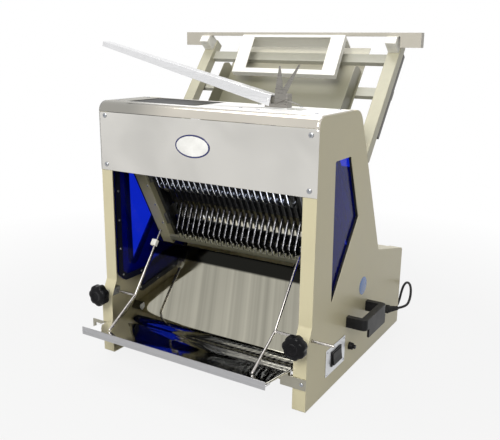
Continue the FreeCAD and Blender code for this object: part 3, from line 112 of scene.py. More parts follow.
def rounded_rectangle(a0, a1, b0, b1, radius, steps=5):
    """Closed outline of a rectangle with round corners, counter-clockwise."""
    t = np.linspace(0, math.pi / 2, steps + 1)
    corners = [(a1 - radius, b0 + radius, -math.pi / 2), (a1 - radius, b1 - radius, 0),
               (a0 + radius, b1 - radius, math.pi / 2), (a0 + radius, b0 + radius, math.pi)]
    return np.concatenate([np.stack([a + radius * np.cos(t + turn), b + radius * np.sin(t + turn)], -1)
                           for a, b, turn in corners])


def oval(radius_a, radius_b, count=96):
    """Closed ellipse (a cos t, b sin t)."""
    t = np.linspace(0, 2 * np.pi, count, endpoint=False)
    return np.stack([radius_a * np.cos(t), radius_b * np.sin(t)], -1)


def circle_about(axis, seed, around):
    """Angles a and the unit circle cos a * side + sin a * up round an axis; side is square to seed too."""
    side = np.cross(axis, seed)
    side /= np.linalg.norm(side)
    angle = np.linspace(0, 2 * math.pi, around, endpoint=False)
    return angle, np.cos(angle)[:, None] * side + np.sin(angle)[:, None] * np.cross(axis, side)


def middles(steps):
    """Middle of every interval."""
    return (steps[:-1] + steps[1:]) / 2


def steps_through(low, high, count, *marks):
    """Even steps from low to high, with the given marks among them."""
    return np.unique(np.concatenate([np.linspace(low, high, count), marks]).round(6))


def fade(value, low, high, rise, fall):
    """Share that rises from 0 at low to 1 over rise, and falls to 0 at high over fall."""
    return np.clip((value - low) / rise, 0, 1) * np.clip((high - value) / fall, 0, 1)


def waves(a, b, amount, length):
    """Very shallow unevenness of a thin sheet: three crossing sine waves."""
    k = 2 * math.pi / length
    return amount * (np.sin(k * a + 1.3 * np.sin(0.7 * k * b)) + 0.7 * np.sin(0.63 * k * (a + 1.4 * b) + 1.1)
                     + 0.5 * np.sin(1.7 * k * (b - 0.4 * a) + 2.3)) / 2.2


# ---- surfaces: points, wrap rows, wrap columns
def carried(profile, x_steps, uneven=None):
    """A (y, z) profile carried along x: point (i, j) is (x[i], profile[j] - uneven(x, run) * normal)."""
    x, along = np.meshgrid(x_steps, run_of(profile), indexing="ij")
    points = np.stack([x, *(np.tile(profile[:, i], (len(x_steps), 1)) for i in (0, 1))], -1)
    if uneven is not None:
        normal = np.stack([-np.gradient(profile[:, 1]), np.gradient(profile[:, 0])], -1)
        normal /= np.linalg.norm(normal, axis=1)[:, None]
        points[..., 1:] -= normal[None] * uneven(x, along)[..., None]
    return points


def capped(points):
    """Closed sections in a row, with each end closed by a fan at its middle."""
    ends = points[[0, -1]].mean(1, keepdims=True).repeat(points.shape[1], 1)
    return np.concatenate([ends[:1], points, ends[1:]]), False, True


TUBE_SIDES, DOME_RINGS = 16, 5


def tube(path, radius):
    """Round bar along a line, with half-round ends.

    Ring k is path[k] + size[k] * (cos a * side + sin a * up)."""
    path = np.asarray(path, float)
    along = np.gradient(path, axis=0)
    along /= np.linalg.norm(along, axis=1)[:, None]
    side = np.cross(along, (0.0, 0.0, 1.0))
    side[np.linalg.norm(side, axis=1) < 1e-3] = (1.0, 0.0, 0.0)
    side /= np.linalg.norm(side, axis=1)[:, None]
    up = np.cross(side, along)
    dome = np.linspace(0, math.pi / 2, DOME_RINGS + 1)[1:]
    reach, small = np.sin(dome)[:, None] * radius, np.cos(dome) * radius
    path = np.concatenate([path[0] - along[0] * reach[::-1], path, path[-1] + along[-1] * reach])
    size = np.concatenate([small[::-1], np.full(len(side), float(radius)), small])
    side, up = (np.pad(way, ((DOME_RINGS, DOME_RINGS), (0, 0)), mode="edge") for way in (side, up))
    angle = np.linspace(0, 2 * math.pi, TUBE_SIDES, endpoint=False)[None, :, None]
    ring = np.cos(angle) * side[:, None] + np.sin(angle) * up[:, None]
    return path[:, None] + size[:, None, None] * ring, False, True


def turned(origin, axis, profile, around=24, shape=None):
    """Surface of revolution: profile rows are (radius, height along the axis).

    shape(radius, angle), where given, is the radius at each angle."""
    axis = np.asarray(axis, float) / np.linalg.norm(axis)
    angle, ring = circle_about(axis, (0.0, 0.0, 1.0) if abs(axis[2]) < 0.9 else (1.0, 0.0, 0.0), around)
    profile = np.asarray(profile, float)
    radius = profile[:, :1] * np.ones(around) if shape is None else shape(profile[:, :1], angle[None])
    points = np.asarray(origin, float) + profile[:, 1, None, None] * axis + radius[..., None] * ring
    return points, False, True


def slab(outline, place, low, high, edge, steps=3):
    """Plate with rounded rims: the outline (a, b), moved in by edge * (1 - sin t) and down by
    edge * (1 - cos t) over a quarter turn at each face, closed by a fan at its middle.

    place(a, b, c) gives the drawing's x, y, z."""
    outline = np.asarray(outline, float)
    along = np.roll(outline, -1, 0) - np.roll(outline, 1, 0)
    normal = np.stack([along[:, 1], -along[:, 0]], -1) / np.linalg.norm(along, axis=1)[:, None]
    centre = outline.mean(0)
    if np.sum((outline - centre) * normal) < 0:
        normal = -normal
    t = np.linspace(0, math.pi / 2, steps + 1)
    inset = np.concatenate([edge * (1 - np.sin(t)), edge * (1 - np.cos(t))])
    height = np.concatenate([[low], low + edge * (1 - np.cos(t)), high - edge * (1 - np.sin(t)), [high]])
    middle = np.repeat(centre[None, None], len(outline), 1)
    rings = np.concatenate([middle, outline[None] - normal[None] * inset[:, None, None], middle])
    return place(rings[..., 0], rings[..., 1], height[:, None] * np.ones(len(outline))), False, True


def blade_slab(outline, x, half, edge, steps=2):
    """Plate that reaches half to each side of x, with its outline (s, n) in the blades' system."""
    return slab(outline, lambda s, n, c: blade_xyz(x + c, s, n), -half, half, edge, steps)


# ---- pieces
def grid_faces(rows, columns, wrap_rows, wrap_columns, start):
    """Quads of a grid of points, as four shifted copies of its index array."""
    index = np.arange(rows * columns).reshape(rows, columns) + start
    if wrap_rows:
        index = np.concatenate([index, index[:1]])
    if wrap_columns:
        index = np.concatenate([index, index[:, :1]], 1)
    return np.stack([index[:-1, :-1], index[:-1, 1:], index[1:, 1:], index[1:, :-1]], -1).reshape(-1, 4)


def piece(name, grids, body, finish, replaces=(), sharp=38.0, wall=0.0, facing=None):
    """One object from grids of points, each (points, wrap rows, wrap columns[, kept quads]).

    Coincident points are merged, so poles and seams close.  A closed shell's faces are turned outwards,
    an open sheet's towards facing."""
    vertices, faces, start = [], [], 0
    for points, wrap_rows, wrap_columns, *kept in grids:
        rows, columns = points.shape[:2]
        quads = grid_faces(rows, columns, wrap_rows, wrap_columns, start)
        faces.append(quads[kept[0].ravel()] if kept else quads)
        vertices.append(points.reshape(-1, 3))
        start += rows * columns
    mesh = bpy.data.meshes.new(name)
    mesh.from_pydata(row(np.concatenate(vertices)).tolist(), [], np.concatenate(faces).tolist())
    shell = bmesh.new()
    shell.from_mesh(mesh)
    bmesh.ops.remove_doubles(shell, verts=shell.verts, dist=2e-6)
    bmesh.ops.dissolve_degenerate(shell, edges=shell.edges, dist=1e-7)
    if facing is None:
        bmesh.ops.recalc_face_normals(shell, faces=shell.faces)
    elif sum((face.normal * face.calc_area() for face in shell.faces), Vector()).dot(Vector(facing)) < 0:
        bmesh.ops.reverse_faces(shell, faces=shell.faces)
    shell.to_mesh(mesh)
    shell.free()
    return dressed(bpy.data.objects.new(name, mesh), body, finish, replaces, sharp, wall)


def softened(cad_node, finish, rounding):
    """Copy of a CAD node with its loose triangles merged, flat faces joined and every hard edge rounded."""
    mesh = frame["nodes"][cad_node].data.copy()
    mesh.name = cad_node + "_soft"
    shell = bmesh.new()
    shell.from_mesh(mesh)
    bmesh.ops.remove_doubles(shell, verts=shell.verts, dist=5e-6)
    bmesh.ops.dissolve_limit(shell, angle_limit=math.radians(0.6), verts=shell.verts, edges=shell.edges)
    shell.to_mesh(mesh)
    shell.free()
    mesh.materials.clear()
    dressed(bpy.data.objects.new(cad_node + "_soft", mesh), BODY_OF[cad_node], finish,
            (cad_node,), 32.0, rounding=rounding)


def dressed(obj, body, finish, replaces=(), sharp=38.0, wall=0.0, rounding=0.0):
    """Completes a piece: smooth shading with sharp folds, wall, rounded edges, body and finish."""
    bpy.context.collection.objects.link(obj)
    if obj.type == "MESH":
        obj.data.shade_smooth()
        obj.data.set_sharp_from_angle(angle=math.radians(sharp))
    if wall:
        sheet = obj.modifiers.new("wall", "SOLIDIFY")
        sheet.thickness, sheet.offset, sheet.use_even_offset = wall / 1000, -1, True
    if rounding:
        edge = obj.modifiers.new("edge", "BEVEL")
        edge.width, edge.segments = rounding / 1000, 2
        edge.limit_method, edge.angle_limit = "ANGLE", math.radians(sharp)
    obj.data.materials.append(FINISH[finish])
    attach(obj, body)
    if replaces:
        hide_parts(*replaces)
    return obj


# ---- shader nodes
def connect(tree, added, **inputs):
    """Links outputs to a node's inputs or sets their values; _ is a space, i2 the input of index 2."""
    for key, value in inputs.items():
        socket = added.inputs[int(key[1:]) if key[1:].isdigit() else key.replace("_", " ")]
        if isinstance(value, bpy.types.NodeSocket):
            tree.links.new(value, socket)
        else:
            socket.default_value = value


def node(tree, kind, settings=None, **inputs):
    """Adds a shader node and returns its first output."""
    added = tree.nodes.new("ShaderNode" + kind)
    for key, value in (settings or {}).items():
        setattr(added, key, value)
    connect(tree, added, **inputs)
    return added.outputs[0]


def math_node(tree, operation, a, b):
    return node(tree, "Math", {"operation": operation}, i0=a, i1=b)


def axis_of(tree, vector, axis):
    """One axis of a vector."""
    return node(tree, "SeparateXYZ", i0=vector).node.outputs[axis]


def object_place(tree, stretch=None):
    """Object coordinates, stretched by a vector."""
    coordinates = tree.nodes.new("ShaderNodeTexCoord").outputs["Object"]
    return coordinates if stretch is None else node(tree, "Mapping", Vector=coordinates, Scale=stretch)


def noise(tree, place, scale, detail, roughness=0.5, distortion=0.0):
    return node(tree, "TexNoise", Vector=place, Scale=scale, Detail=detail, Roughness=roughness,
                Distortion=distortion)


def mask(tree, value, start, full, most=1.0, kind="LINEAR"):
    """Mask that goes from 0 where the value is start to most where it is full."""
    return node(tree, "MapRange", {"interpolation_type": kind}, Value=value, i1=start, i2=full,
                i3=0.0, i4=most)


def ranged(tree, share, low, high):
    """A mask from 0 to 1 turned into a value from low to high."""
    return node(tree, "MapRange", Value=share, i1=0.0, i2=1.0, i3=low, i4=high)


def facing_up(tree, start, full):
    """Mask of the surface that faces up, by the height of its normal."""
    normal = tree.nodes.new("ShaderNodeNewGeometry").outputs["Normal"]
    return mask(tree, axis_of(tree, normal, "Z"), start, full)


def mixed(tree, share, a, b):
    """Mix of two colours by a mask."""
    a, b = ((*color, 1.0) if isinstance(color, tuple) else color for color in (a, b))
    return node(tree, "Mix", {"data_type": "RGBA"}, i0=share, i6=a, i7=b).node.outputs[2]


def toned(tree, base, tones):
    """A colour covered by others, each (colour, axis, where it starts, where it is full)."""
    for tone, axis, start, full in tones:
        cover = mask(tree, axis_of(tree, object_place(tree), axis), start, full, kind="SMOOTHSTEP")
        base = mixed(tree, cover, base, tone)
    return base


# ---- shared effects
def group(name, inputs, *outputs):
    """Empty node group; an input given as a tuple and the output Normal are vectors, all others numbers."""
    tree = bpy.data.node_groups.new(name, "ShaderNodeTree")
    for label, value in inputs.items():
        kind = "NodeSocketVector" if isinstance(value, tuple) else "NodeSocketFloat"
        tree.interface.new_socket(label, in_out="INPUT", socket_type=kind).default_value = value
    for label in outputs:
        kind = "NodeSocketVector" if label == "Normal" else "NodeSocketFloat"
        tree.interface.new_socket(label, in_out="OUTPUT", socket_type=kind)
    return tree, tree.nodes.new("NodeGroupInput").outputs, tree.nodes.new("NodeGroupOutput")


def grain_group():
    """Powder coat: fine orange peel for the normal and a broad, weak mottle for the tone."""
    tree, entry, leave = group("powder_grain", {"Fine Scale": 900.0, "Depth": 0.25, "Mottle Scale": 7.0},
                               "Normal", "Mottle")
    place = object_place(tree)
    fine = noise(tree, place, entry["Fine Scale"], 3.0, 0.6)
    broad = noise(tree, place, entry["Mottle Scale"], 4.0, 0.55)
    connect(tree, leave, Normal=node(tree, "Bump", Height=fine, Strength=entry["Depth"], Distance=0.0002),
            Mottle=mask(tree, broad, 0.32, 0.68))
    return tree


def brush_group():
    """Brushed or ground metal: noise drawn out along one direction, as a normal and as a streak mask."""
    tree, entry, leave = group("brush_lines", {"Stretch": (20.0, 1200.0, 1200.0), "Depth": 0.2},
                               "Normal", "Streak")
    lines = noise(tree, object_place(tree, entry["Stretch"]), 1.0, 3.0, 0.65)
    connect(tree, leave, Normal=node(tree, "Bump", Height=lines, Strength=entry["Depth"], Distance=0.0001),
            Streak=mask(tree, lines, 0.3, 0.7))
    return tree


def polish_group():
    """Polished sheet: long soft ripples for the normal, their clouds, and wiping marks for the roughness."""
    tree, entry, leave = group("cloudy_polish", {"Ripple Scale": 9.0, "Depth": 0.3},
                               "Normal", "Cloud", "Smear")
    place = object_place(tree)
    ripple = noise(tree, place, entry["Ripple Scale"], 2.0, 0.45, 0.6)
    drawn = node(tree, "Mapping", Vector=place, Scale=(5.0, 5.0, 34.0), Rotation=(0.0, 0.5, 0.0))
    wiped = noise(tree, drawn, 1.0, 5.0, 0.6, 1.2)
    connect(tree, leave, Normal=node(tree, "Bump", Height=ripple, Strength=entry["Depth"], Distance=0.004),
            Cloud=mask(tree, ripple, 0.3, 0.7), Smear=mask(tree, wiped, 0.42, 0.70))
    return tree


def wear_group():
    """Worn or bright edges: the surface's convexity, broken up by noise."""
    tree, entry, leave = group("edge_wear", {"Amount": 0.5}, "Edge")
    point = tree.nodes.new("ShaderNodeNewGeometry").outputs["Pointiness"]
    broken = mask(tree, noise(tree, object_place(tree), 70.0, 4.0), 0.38, 0.62)
    edge = math_node(tree, "MULTIPLY", mask(tree, point, 0.53, 0.60), broken)
    connect(tree, leave, Edge=math_node(tree, "MULTIPLY", edge, entry["Amount"]))
    return tree


def dust_group():
    """Dust and flour: upward-facing surface, broken up by noise."""
    tree, entry, leave = group("settled_dust", {"Amount": 0.2}, "Dust")
    spread = mask(tree, noise(tree, object_place(tree), 24.0, 6.0, 0.7), 0.35, 0.75)
    dust = math_node(tree, "MULTIPLY", facing_up(tree, 0.55, 1.0), spread)
    connect(tree, leave, Dust=math_node(tree, "MULTIPLY", dust, entry["Amount"]))
    return tree


GRAIN, BRUSH, POLISH, WEAR, DUST = grain_group(), brush_group(), polish_group(), wear_group(), dust_group()


def placed(tree, shared, **values):
    """Puts a shared effect in a material and returns its outputs."""
    return node(tree, "Group", {"node_tree": shared}, **values).node.outputs


# ---- finishes
FLOUR = (0.72, 0.70, 0.64)
GREY_DUST = (0.42, 0.41, 0.38)
# painted light: the colour given to upward-facing flat tops of polished sheet, lighter to stand in for the
# light falling on them
FLAT_TOP_PAINTED_LIGHT = (0.92, 0.91, 0.90)
REFLECTION_STREAK_LEAN = 0.37


def material(name):
    """New finish: its node tree and its shader."""
    FINISH[name] = bpy.data.materials.new(name)
    FINISH[name].use_nodes = True
    tree = FINISH[name].node_tree
    return tree, tree.nodes["Principled BSDF"]


def shade(color, amount):
    """A colour times its brightness."""
    return tuple(min(1.0, c * amount) for c in color)


def paint(name, color, roughness=0.42, wear=0.25, dust=0.12, mottle=0.05, coat=0.12, gloss=0.5, tones=()):
    """Satin powder coat: orange peel, weak mottle, brighter rubbed edges and a little dust on top faces."""
    tree, shader = material(name)
    grain = placed(tree, GRAIN, Fine_Scale=850.0, Depth=0.18, Mottle_Scale=5.0)
    base = mixed(tree, grain["Mottle"], shade(color, 1 - mottle), shade(color, 1 + mottle))
    rubbed = mixed(tree, placed(tree, WEAR, Amount=wear)["Edge"], base, shade(color, 1.25))
    dusty = mixed(tree, placed(tree, DUST, Amount=dust)["Dust"], rubbed, FLOUR)
    connect(tree, shader, Base_Color=toned(tree, dusty, tones), Normal=grain["Normal"], Coat_Weight=coat,
            Coat_Roughness=0.25, Specular_IOR_Level=gloss,
            Roughness=ranged(tree, grain["Mottle"], roughness - 0.05, roughness + 0.07))


def polished(name, color, roughness, ripple, ripple_scale, cloud=0.06, painted_reflection_streaks=0.0, satin_and_painted_light=0.0, tones=()):
    """Polished stainless sheet: slow ripples, wiping marks and slightly cloudy roughness.

    streaks sets the strength of dark stripes painted along the slices, a painted reflection; satin sets the
    roughness of its flat top, which it also paints lighter, painted light."""
    tree, shader = material(name)
    marks = placed(tree, POLISH, Ripple_Scale=ripple_scale, Depth=ripple)
    tone = mixed(tree, marks["Cloud"], shade(color, 1 - cloud), shade(color, 1 + cloud))
    # painted reflection: dark stripes across the sheet, standing in for the streaky room it reflects
    if painted_reflection_streaks:
        place = object_place(tree)
        across = node(tree, "Math", {"operation": "MULTIPLY_ADD"}, i0=axis_of(tree, place, "Z"),
                      i1=REFLECTION_STREAK_LEAN, i2=axis_of(tree, place, "X"))
        lines = node(tree, "TexNoise", {"noise_dimensions": "1D"}, W=across, Scale=42.0, Detail=2.0)
        tone = mixed(tree, mask(tree, lines, 0.3, 0.7, painted_reflection_streaks), tone, shade(color, 0.45))
    rough = ranged(tree, marks["Smear"], roughness, roughness + 0.09)
    # satin roughness on the flat top, and painted light: the flat top's colour made lighter
    if satin_and_painted_light:
        flat = facing_up(tree, 0.93, 0.995)
        tone = mixed(tree, flat, tone, FLAT_TOP_PAINTED_LIGHT)
        rough = math_node(tree, "ADD", rough, math_node(tree, "MULTIPLY", flat, satin_and_painted_light - roughness))
    connect(tree, shader, Base_Color=toned(tree, tone, tones), Metallic=1.0, Normal=marks["Normal"],
            Roughness=rough)


def brushed(name, color, roughness, stretch, depth=0.25, vary=0.1, tones=()):
    """Brushed, ground or plated metal: drawn-out lines in normal, tone and roughness, with bright edges."""
    tree, shader = material(name)
    lines = placed(tree, BRUSH, Stretch=stretch, Depth=depth)
    tone = mixed(tree, lines["Streak"], shade(color, 1 - vary), shade(color, 1 + vary))
    bright = mixed(tree, placed(tree, WEAR, Amount=0.3)["Edge"], tone, shade(color, 1.4))
    connect(tree, shader, Base_Color=toned(tree, bright, tones), Metallic=1.0, Normal=lines["Normal"],
            Roughness=ranged(tree, lines["Streak"], roughness - 0.06, roughness + 0.08))


def moulded(name, color, roughness, fine, depth, dust=0.02, gloss=0.5):
    """Moulded plastic or rubber: fine spark grain, weak mottle and dust on top faces."""
    tree, shader = material(name)
    grain = placed(tree, GRAIN, Fine_Scale=fine, Depth=depth, Mottle_Scale=18.0)
    base = mixed(tree, grain["Mottle"], shade(color, 0.85), shade(color, 1.2))
    worn = mixed(tree, placed(tree, WEAR, Amount=0.3)["Edge"], base, tuple(c * 1.6 + 0.02 for c in color))
    dusty = mixed(tree, placed(tree, DUST, Amount=dust)["Dust"], worn, GREY_DUST)
    connect(tree, shader, Base_Color=dusty, Normal=grain["Normal"], Specular_IOR_Level=gloss,
            Roughness=ranged(tree, grain["Mottle"], roughness - 0.06, roughness + 0.08))


def acrylic(name, color):
    """Cast sheet: deep clear blue with faint wiping smears in its gloss."""
    tree, shader = material(name)
    marks = placed(tree, POLISH, Ripple_Scale=5.0, Depth=0.04)
    tone = mixed(tree, marks["Cloud"], shade(color, 0.92), shade(color, 1.08))
    connect(tree, shader, Base_Color=tone, Roughness=ranged(tree, marks["Smear"], 0.03, 0.12),
            Transmission_Weight=0.9, IOR=1.18, Normal=marks["Normal"])


# parts of a finish in another tone: colour, axis, where it starts, where it is full
# painted shade: the feed floor turns nearly black low down, under the top cover, where shade falls on it
FLOOR_LOW_PAINTED_SHADE = ((0.010, 0.010, 0.009), "Z", 0.53, 0.475)
# painted shade: the feed floor darker from below the pusher downwards, where the pusher and cover shade it
FLOOR_MIDDLE_PAINTED_SHADE = ((0.20, 0.193, 0.135), "Z", 0.715, 0.650)
# painted shade: the blades darker towards their lower ends, deep inside the machine
BLADE_LOW_PAINTED_SHADE = ((0.10, 0.105, 0.12), "Z", 0.43, 0.34)
# painted shade: the polished top cover darker towards its left end
NOSE_LEFT_PAINTED_SHADE = ((0.34, 0.33, 0.30), "X", -0.06, -0.2)
# painted reflection: the mirror sheet near white over the chute's front part, standing in for the bright
# surroundings it reflects
TRAY_FRONT_PAINTED_REFLECTION = ((0.95, 0.95, 0.96), "Y", -0.20, -0.235)
# painted reflection: a near-black band across the top of the chute's slope, standing in for a dark reflection
SLOPE_TOP_PAINTED_REFLECTION = ((0.014, 0.014, 0.012), "Z", 0.221, 0.226)
BRACKET_FOOT = ((0.80, 0.80, 0.79), "Z", 0.6215, 0.6212)

paint("cream_paint", (0.60, 0.55, 0.365))
paint("olive_paint", (0.27, 0.252, 0.158), 0.38)
# painted shade: a much darker copy of the olive paint for the lower comb's bar, whose face turns down into
# shade
paint("comb_paint_painted_shade", (0.115, 0.112, 0.078), 0.3)
paint("tooth_paint", (0.25, 0.243, 0.17), 0.3)
paint("rail_paint", (0.46, 0.44, 0.33), 0.4)
paint("floor_paint", (0.47, 0.45, 0.36), 0.36, tones=(FLOOR_MIDDLE_PAINTED_SHADE, FLOOR_LOW_PAINTED_SHADE))
paint("beam_paint", (0.42, 0.415, 0.355), 0.4)
paint("handle_paint", (0.47, 0.445, 0.385), 0.4, wear=0.2, mottle=0.03)
paint("white_paint", (0.86, 0.85, 0.80), wear=0.1, mottle=0.02, dust=0.04)
paint("dark_paint", (0.008, 0.009, 0.024), 0.38, wear=0.1, dust=0.0, coat=0.0, gloss=0.06)
paint("black_plate", (0.010, 0.010, 0.011), 0.4, wear=0.1, dust=0.0, coat=0.0, gloss=0.12)
paint("strip_brown", (0.035, 0.028, 0.02), 0.4, wear=0.15)
paint("motor_grey", (0.06, 0.065, 0.07), 0.5, mottle=0.12)
paint("navy_enamel", (0.012, 0.016, 0.11), 0.2, wear=0.0, dust=0.0, coat=0.4)
paint("blue_label", (0.05, 0.16, 0.46), 0.3, wear=0.0, dust=0.0, coat=0.3)
polished("polished_steel", (0.63, 0.615, 0.58), 0.13, 0.42, 6.5, cloud=0.09)
polished("nose_steel", (0.64, 0.60, 0.53), 0.09, 0.2, 9.0, satin_and_painted_light=0.5, tones=(NOSE_LEFT_PAINTED_SHADE,))
polished("mirror_steel", (0.42, 0.405, 0.335), 0.035, 0.2, 6.0, painted_reflection_streaks=0.55, tones=(TRAY_FRONT_PAINTED_REFLECTION, SLOPE_TOP_PAINTED_REFLECTION))
brushed("brushed_steel", (0.43, 0.43, 0.44), 0.34, (20.0, 1200.0, 1200.0), 0.12, 0.05)
brushed("blade_steel", (0.27, 0.28, 0.32), 0.2, (900.0, 60.0, 900.0), tones=(BLADE_LOW_PAINTED_SHADE,))
brushed("machined_steel", (0.20, 0.205, 0.215), 0.32, (1500.0, 60.0, 60.0))
brushed("zinc_steel", (0.42, 0.43, 0.45), 0.3, (300.0, 300.0, 300.0), vary=0.06)
brushed("screw_zinc", (0.36, 0.37, 0.39), 0.25, (200.0, 200.0, 200.0))
brushed("strap_steel", (0.34, 0.325, 0.27), 0.36, (20.0, 900.0, 900.0), 0.12, 0.05)
brushed("frame_steel", (0.10, 0.102, 0.11), 0.3, (40.0, 900.0, 900.0))
brushed("rod_steel", (0.40, 0.38, 0.36), 0.22, (400.0, 60.0, 60.0), 0.08)
brushed("clip_steel", (0.40, 0.42, 0.48), 0.2, (300.0, 300.0, 300.0), 0.1)
brushed("comb_steel", (0.72, 0.76, 0.86), 0.14, (900.0, 60.0, 60.0), 0.1)
# painted glints: the fingers' tone swings strongly in short runs along their length, standing in for broken
# glints
brushed("finger_steel_painted_glints", (0.24, 0.24, 0.255), 0.2, (60.0, 60.0, 130.0), 0.1, 0.8)
brushed("arm_steel", (0.74, 0.74, 0.75), 0.26, (18.0, 900.0, 900.0), 0.1, 0.05)
brushed("bracket_steel", (0.24, 0.23, 0.21), 0.3, (60.0, 600.0, 600.0), tones=(BRACKET_FOOT,))
brushed("aluminium", (0.60, 0.61, 0.63), 0.33, (1200.0, 25.0, 1200.0))
moulded("rubber", (0.012, 0.012, 0.012), 0.6, 900.0, 0.3, 0.03, 0.2)
moulded("cord_jacket", (0.010, 0.010, 0.011), 0.5, 1400.0, 0.15, gloss=0.22)
moulded("black_plastic", (0.010, 0.010, 0.011), 0.32, 700.0, 0.2, gloss=0.14)
moulded("knob_plastic", (0.006, 0.006, 0.007), 0.2, 500.0, 0.08, 0.01, 0.10)
moulded("nylon", (0.74, 0.73, 0.68), 0.4, 500.0, 0.15)
moulded("guide_nylon", (0.055, 0.055, 0.052), 0.45, 500.0, 0.15)
moulded("label_blank", (0.82, 0.82, 0.80), 0.22, 300.0, 0.05)
acrylic("blue_acrylic", (0.005, 0.022, 0.60))

# ---- sheets
FOLD_HALF = 248.0       # half the width of the folds, which lie between the housings
COVER_LOW, COVER_HIGH = 459.0, 594.0
RETURN_Y, FOLD_R = 33.0, 1.6


def front_cover():
    """Face over the full width with a lower return between the housings: an L profile, faintly uneven."""
    low, change = (COVER_Y, COVER_LOW), COVER_LOW + 16.0
    face = dense(rounded_path([low, (COVER_Y, COVER_HIGH)], []), 5.0)
    fold = dense(rounded_path([(RETURN_Y, COVER_LOW), low, (COVER_Y, change)], [FOLD_R]), 5.0)
    profile = np.concatenate([fold[fold[:, 1] < change - 1], face[face[:, 1] > change]])
    x_steps = steps_through(-HALF, HALF, 96, -FOLD_HALF, FOLD_HALF)
    points = carried(profile, x_steps)
    inside = fade(profile[:, 1], COVER_LOW + 2, COVER_HIGH, 20, 20)
    points[..., 1] += (0.2 + waves(points[..., 0], points[..., 2], 0.2, 210.0)) * inside
    middle_x, middle_y = np.meshgrid(middles(x_steps), middles(profile[:, 0]), indexing="ij")
    kept = (np.abs(middle_x) < FOLD_HALF) | (middle_y < COVER_Y + 0.3)
    piece("front_cover_sheet", [(points, False, False, kept)], "frame", "polished_steel",
          ("front_cover",), wall=THIN, facing=(0, -1, 0))


HATCH = (-226.0, -34.0, 52.0, 172.0)    # x and y limits of the opening in the top
NOSE_Z, NOSE_R = 595.0, 23.5
FLANGE_Y, FLANGE_Z, FLANGE_R = 180.0, 603.0, 1.8


def top_cover():
    """Round nose, flat top and rear flange: one profile carried along x, with the hatch left out of it."""
    x0, x1, y0, y1 = HATCH
    outer_z = TOP_Z + THIN
    corners = [(COVER_Y, NOSE_Z), (COVER_Y, outer_z), (y0, outer_z), (y1, outer_z), (FLANGE_Y, outer_z),
               (FLANGE_Y, FLANGE_Z)]
    profile = dense(rounded_path(corners, [NOSE_R, 0, 0, FLANGE_R], 14), 6.0)
    x_steps = steps_through(-HALF, HALF, 90, -FOLD_HALF, FOLD_HALF, x0, x1)
    flat = fade(profile[:, 0], 45, 176, 12, 8)
    points = carried(profile, x_steps, lambda x, run: (0.15 + waves(x, run, 0.14, 170.0)) * flat[None])
    middle_x, middle_y = np.meshgrid(middles(x_steps), middles(profile[:, 0]), indexing="ij")
    hole = (middle_x > x0) & (middle_x < x1) & (middle_y > y0) & (middle_y < y1)
    flange = (middles(profile[:, 1]) < outer_z - 2) & (middle_y > y1)
    kept = ~hole & ~(flange & (np.abs(middle_x) > FOLD_HALF))
    piece("top_cover_sheet", [(points, False, False, kept)], "frame", "nose_steel",
          ("top_cover",), wall=THIN, facing=(0, -0.2, 1))


TRAY_HALF = 243.0
CHUTE = [(-105.0, 106.0), (39.42, 87.24), (176.0, 252.92)]
CHUTE_BEND = 66.0
CHUTE_DISH = 1.5


def chute():
    """Tray that falls to the rear, one bend and a straight slope: a smooth profile carried along x.

    Between its edges and its ends the sheet is dished by CHUTE_DISH * (1 - (x / half) ** 2)."""
    profile = dense(rounded_path(CHUTE, [CHUTE_BEND], 32), 5.0)
    x_steps = np.linspace(-TRAY_HALF, TRAY_HALF, 82)
    edge = np.clip((TRAY_HALF - np.abs(x_steps)) / 30, 0, 1)[:, None]

    def sag(x, run):
        ends = fade(run, 40, run.max(), 60, 30)
        return (0.3 + waves(x, run, 0.3, 230.0)) * edge + CHUTE_DISH * (1 - (x / TRAY_HALF) ** 2) * ends
    piece("chute_sheet", [(carried(profile, x_steps, sag), False, False)], "frame",
          "mirror_steel", ("discharge_chute",), wall=THIN, facing=(0, 0, 1))


# ---- blades
PITCH = 16.0                        # one slice
BLADE_N, BLADE_W = 33.0, 12.7       # front edge in the blades' system, and width
BLADE_TOP, BLADE_END = -29.0, 195.0
SCALLOP, SCALLOP_DEPTH, GROUND = 12.2, 1.8, 3.4
FRONT_CLIP, REAR_CLIP = (28.0, 45.7), (33.0, 51.0)      # from n to n
CLIP_S, CLIP_R = 7.6, 3.2           # half length and corner radius


def blade(x):
    """Strip whose rear edge is ground thin and scalloped.

    The edge lies SCALLOP_DEPTH * (1 - cos(2 pi s / SCALLOP)) / 2 in from the strip's full width."""
    s = np.linspace(BLADE_TOP, BLADE_END, 145)[:, None]
    edge = BLADE_N + BLADE_W - SCALLOP_DEPTH / 2 * (1 - np.cos(2 * np.pi * (s - BLADE_TOP) / SCALLOP))
    front, ground = np.full_like(s, BLADE_N), edge - GROUND
    n = np.concatenate([front, ground, edge, edge, ground, front], 1)
    return capped(blade_xyz(x + np.array([-0.3, -0.3, -0.05, 0.05, 0.3, 0.3]), s, n))


def blade_clip(x, s, n0, n1):
    """Clip that carries a blade's end: a rounded block from the blade to its frame's cross bar."""
    return blade_slab(rounded_rectangle(s - CLIP_S, s + CLIP_S, n0, n1, CLIP_R, 4), x, 1.5, 0.5)


def blade_pin(x, s, n):
    """Rivet through the clip and the blade, a low dome on each side."""
    profile = [(0, -2.3), (1.2, -2.2), (1.9, -1.8), (2.1, -1.4), (2.1, 1.4), (1.9, 1.8), (1.2, 2.2), (0, 2.3)]
    return turned(blade_xyz(x, s, n), (1, 0, 0), profile, 12)


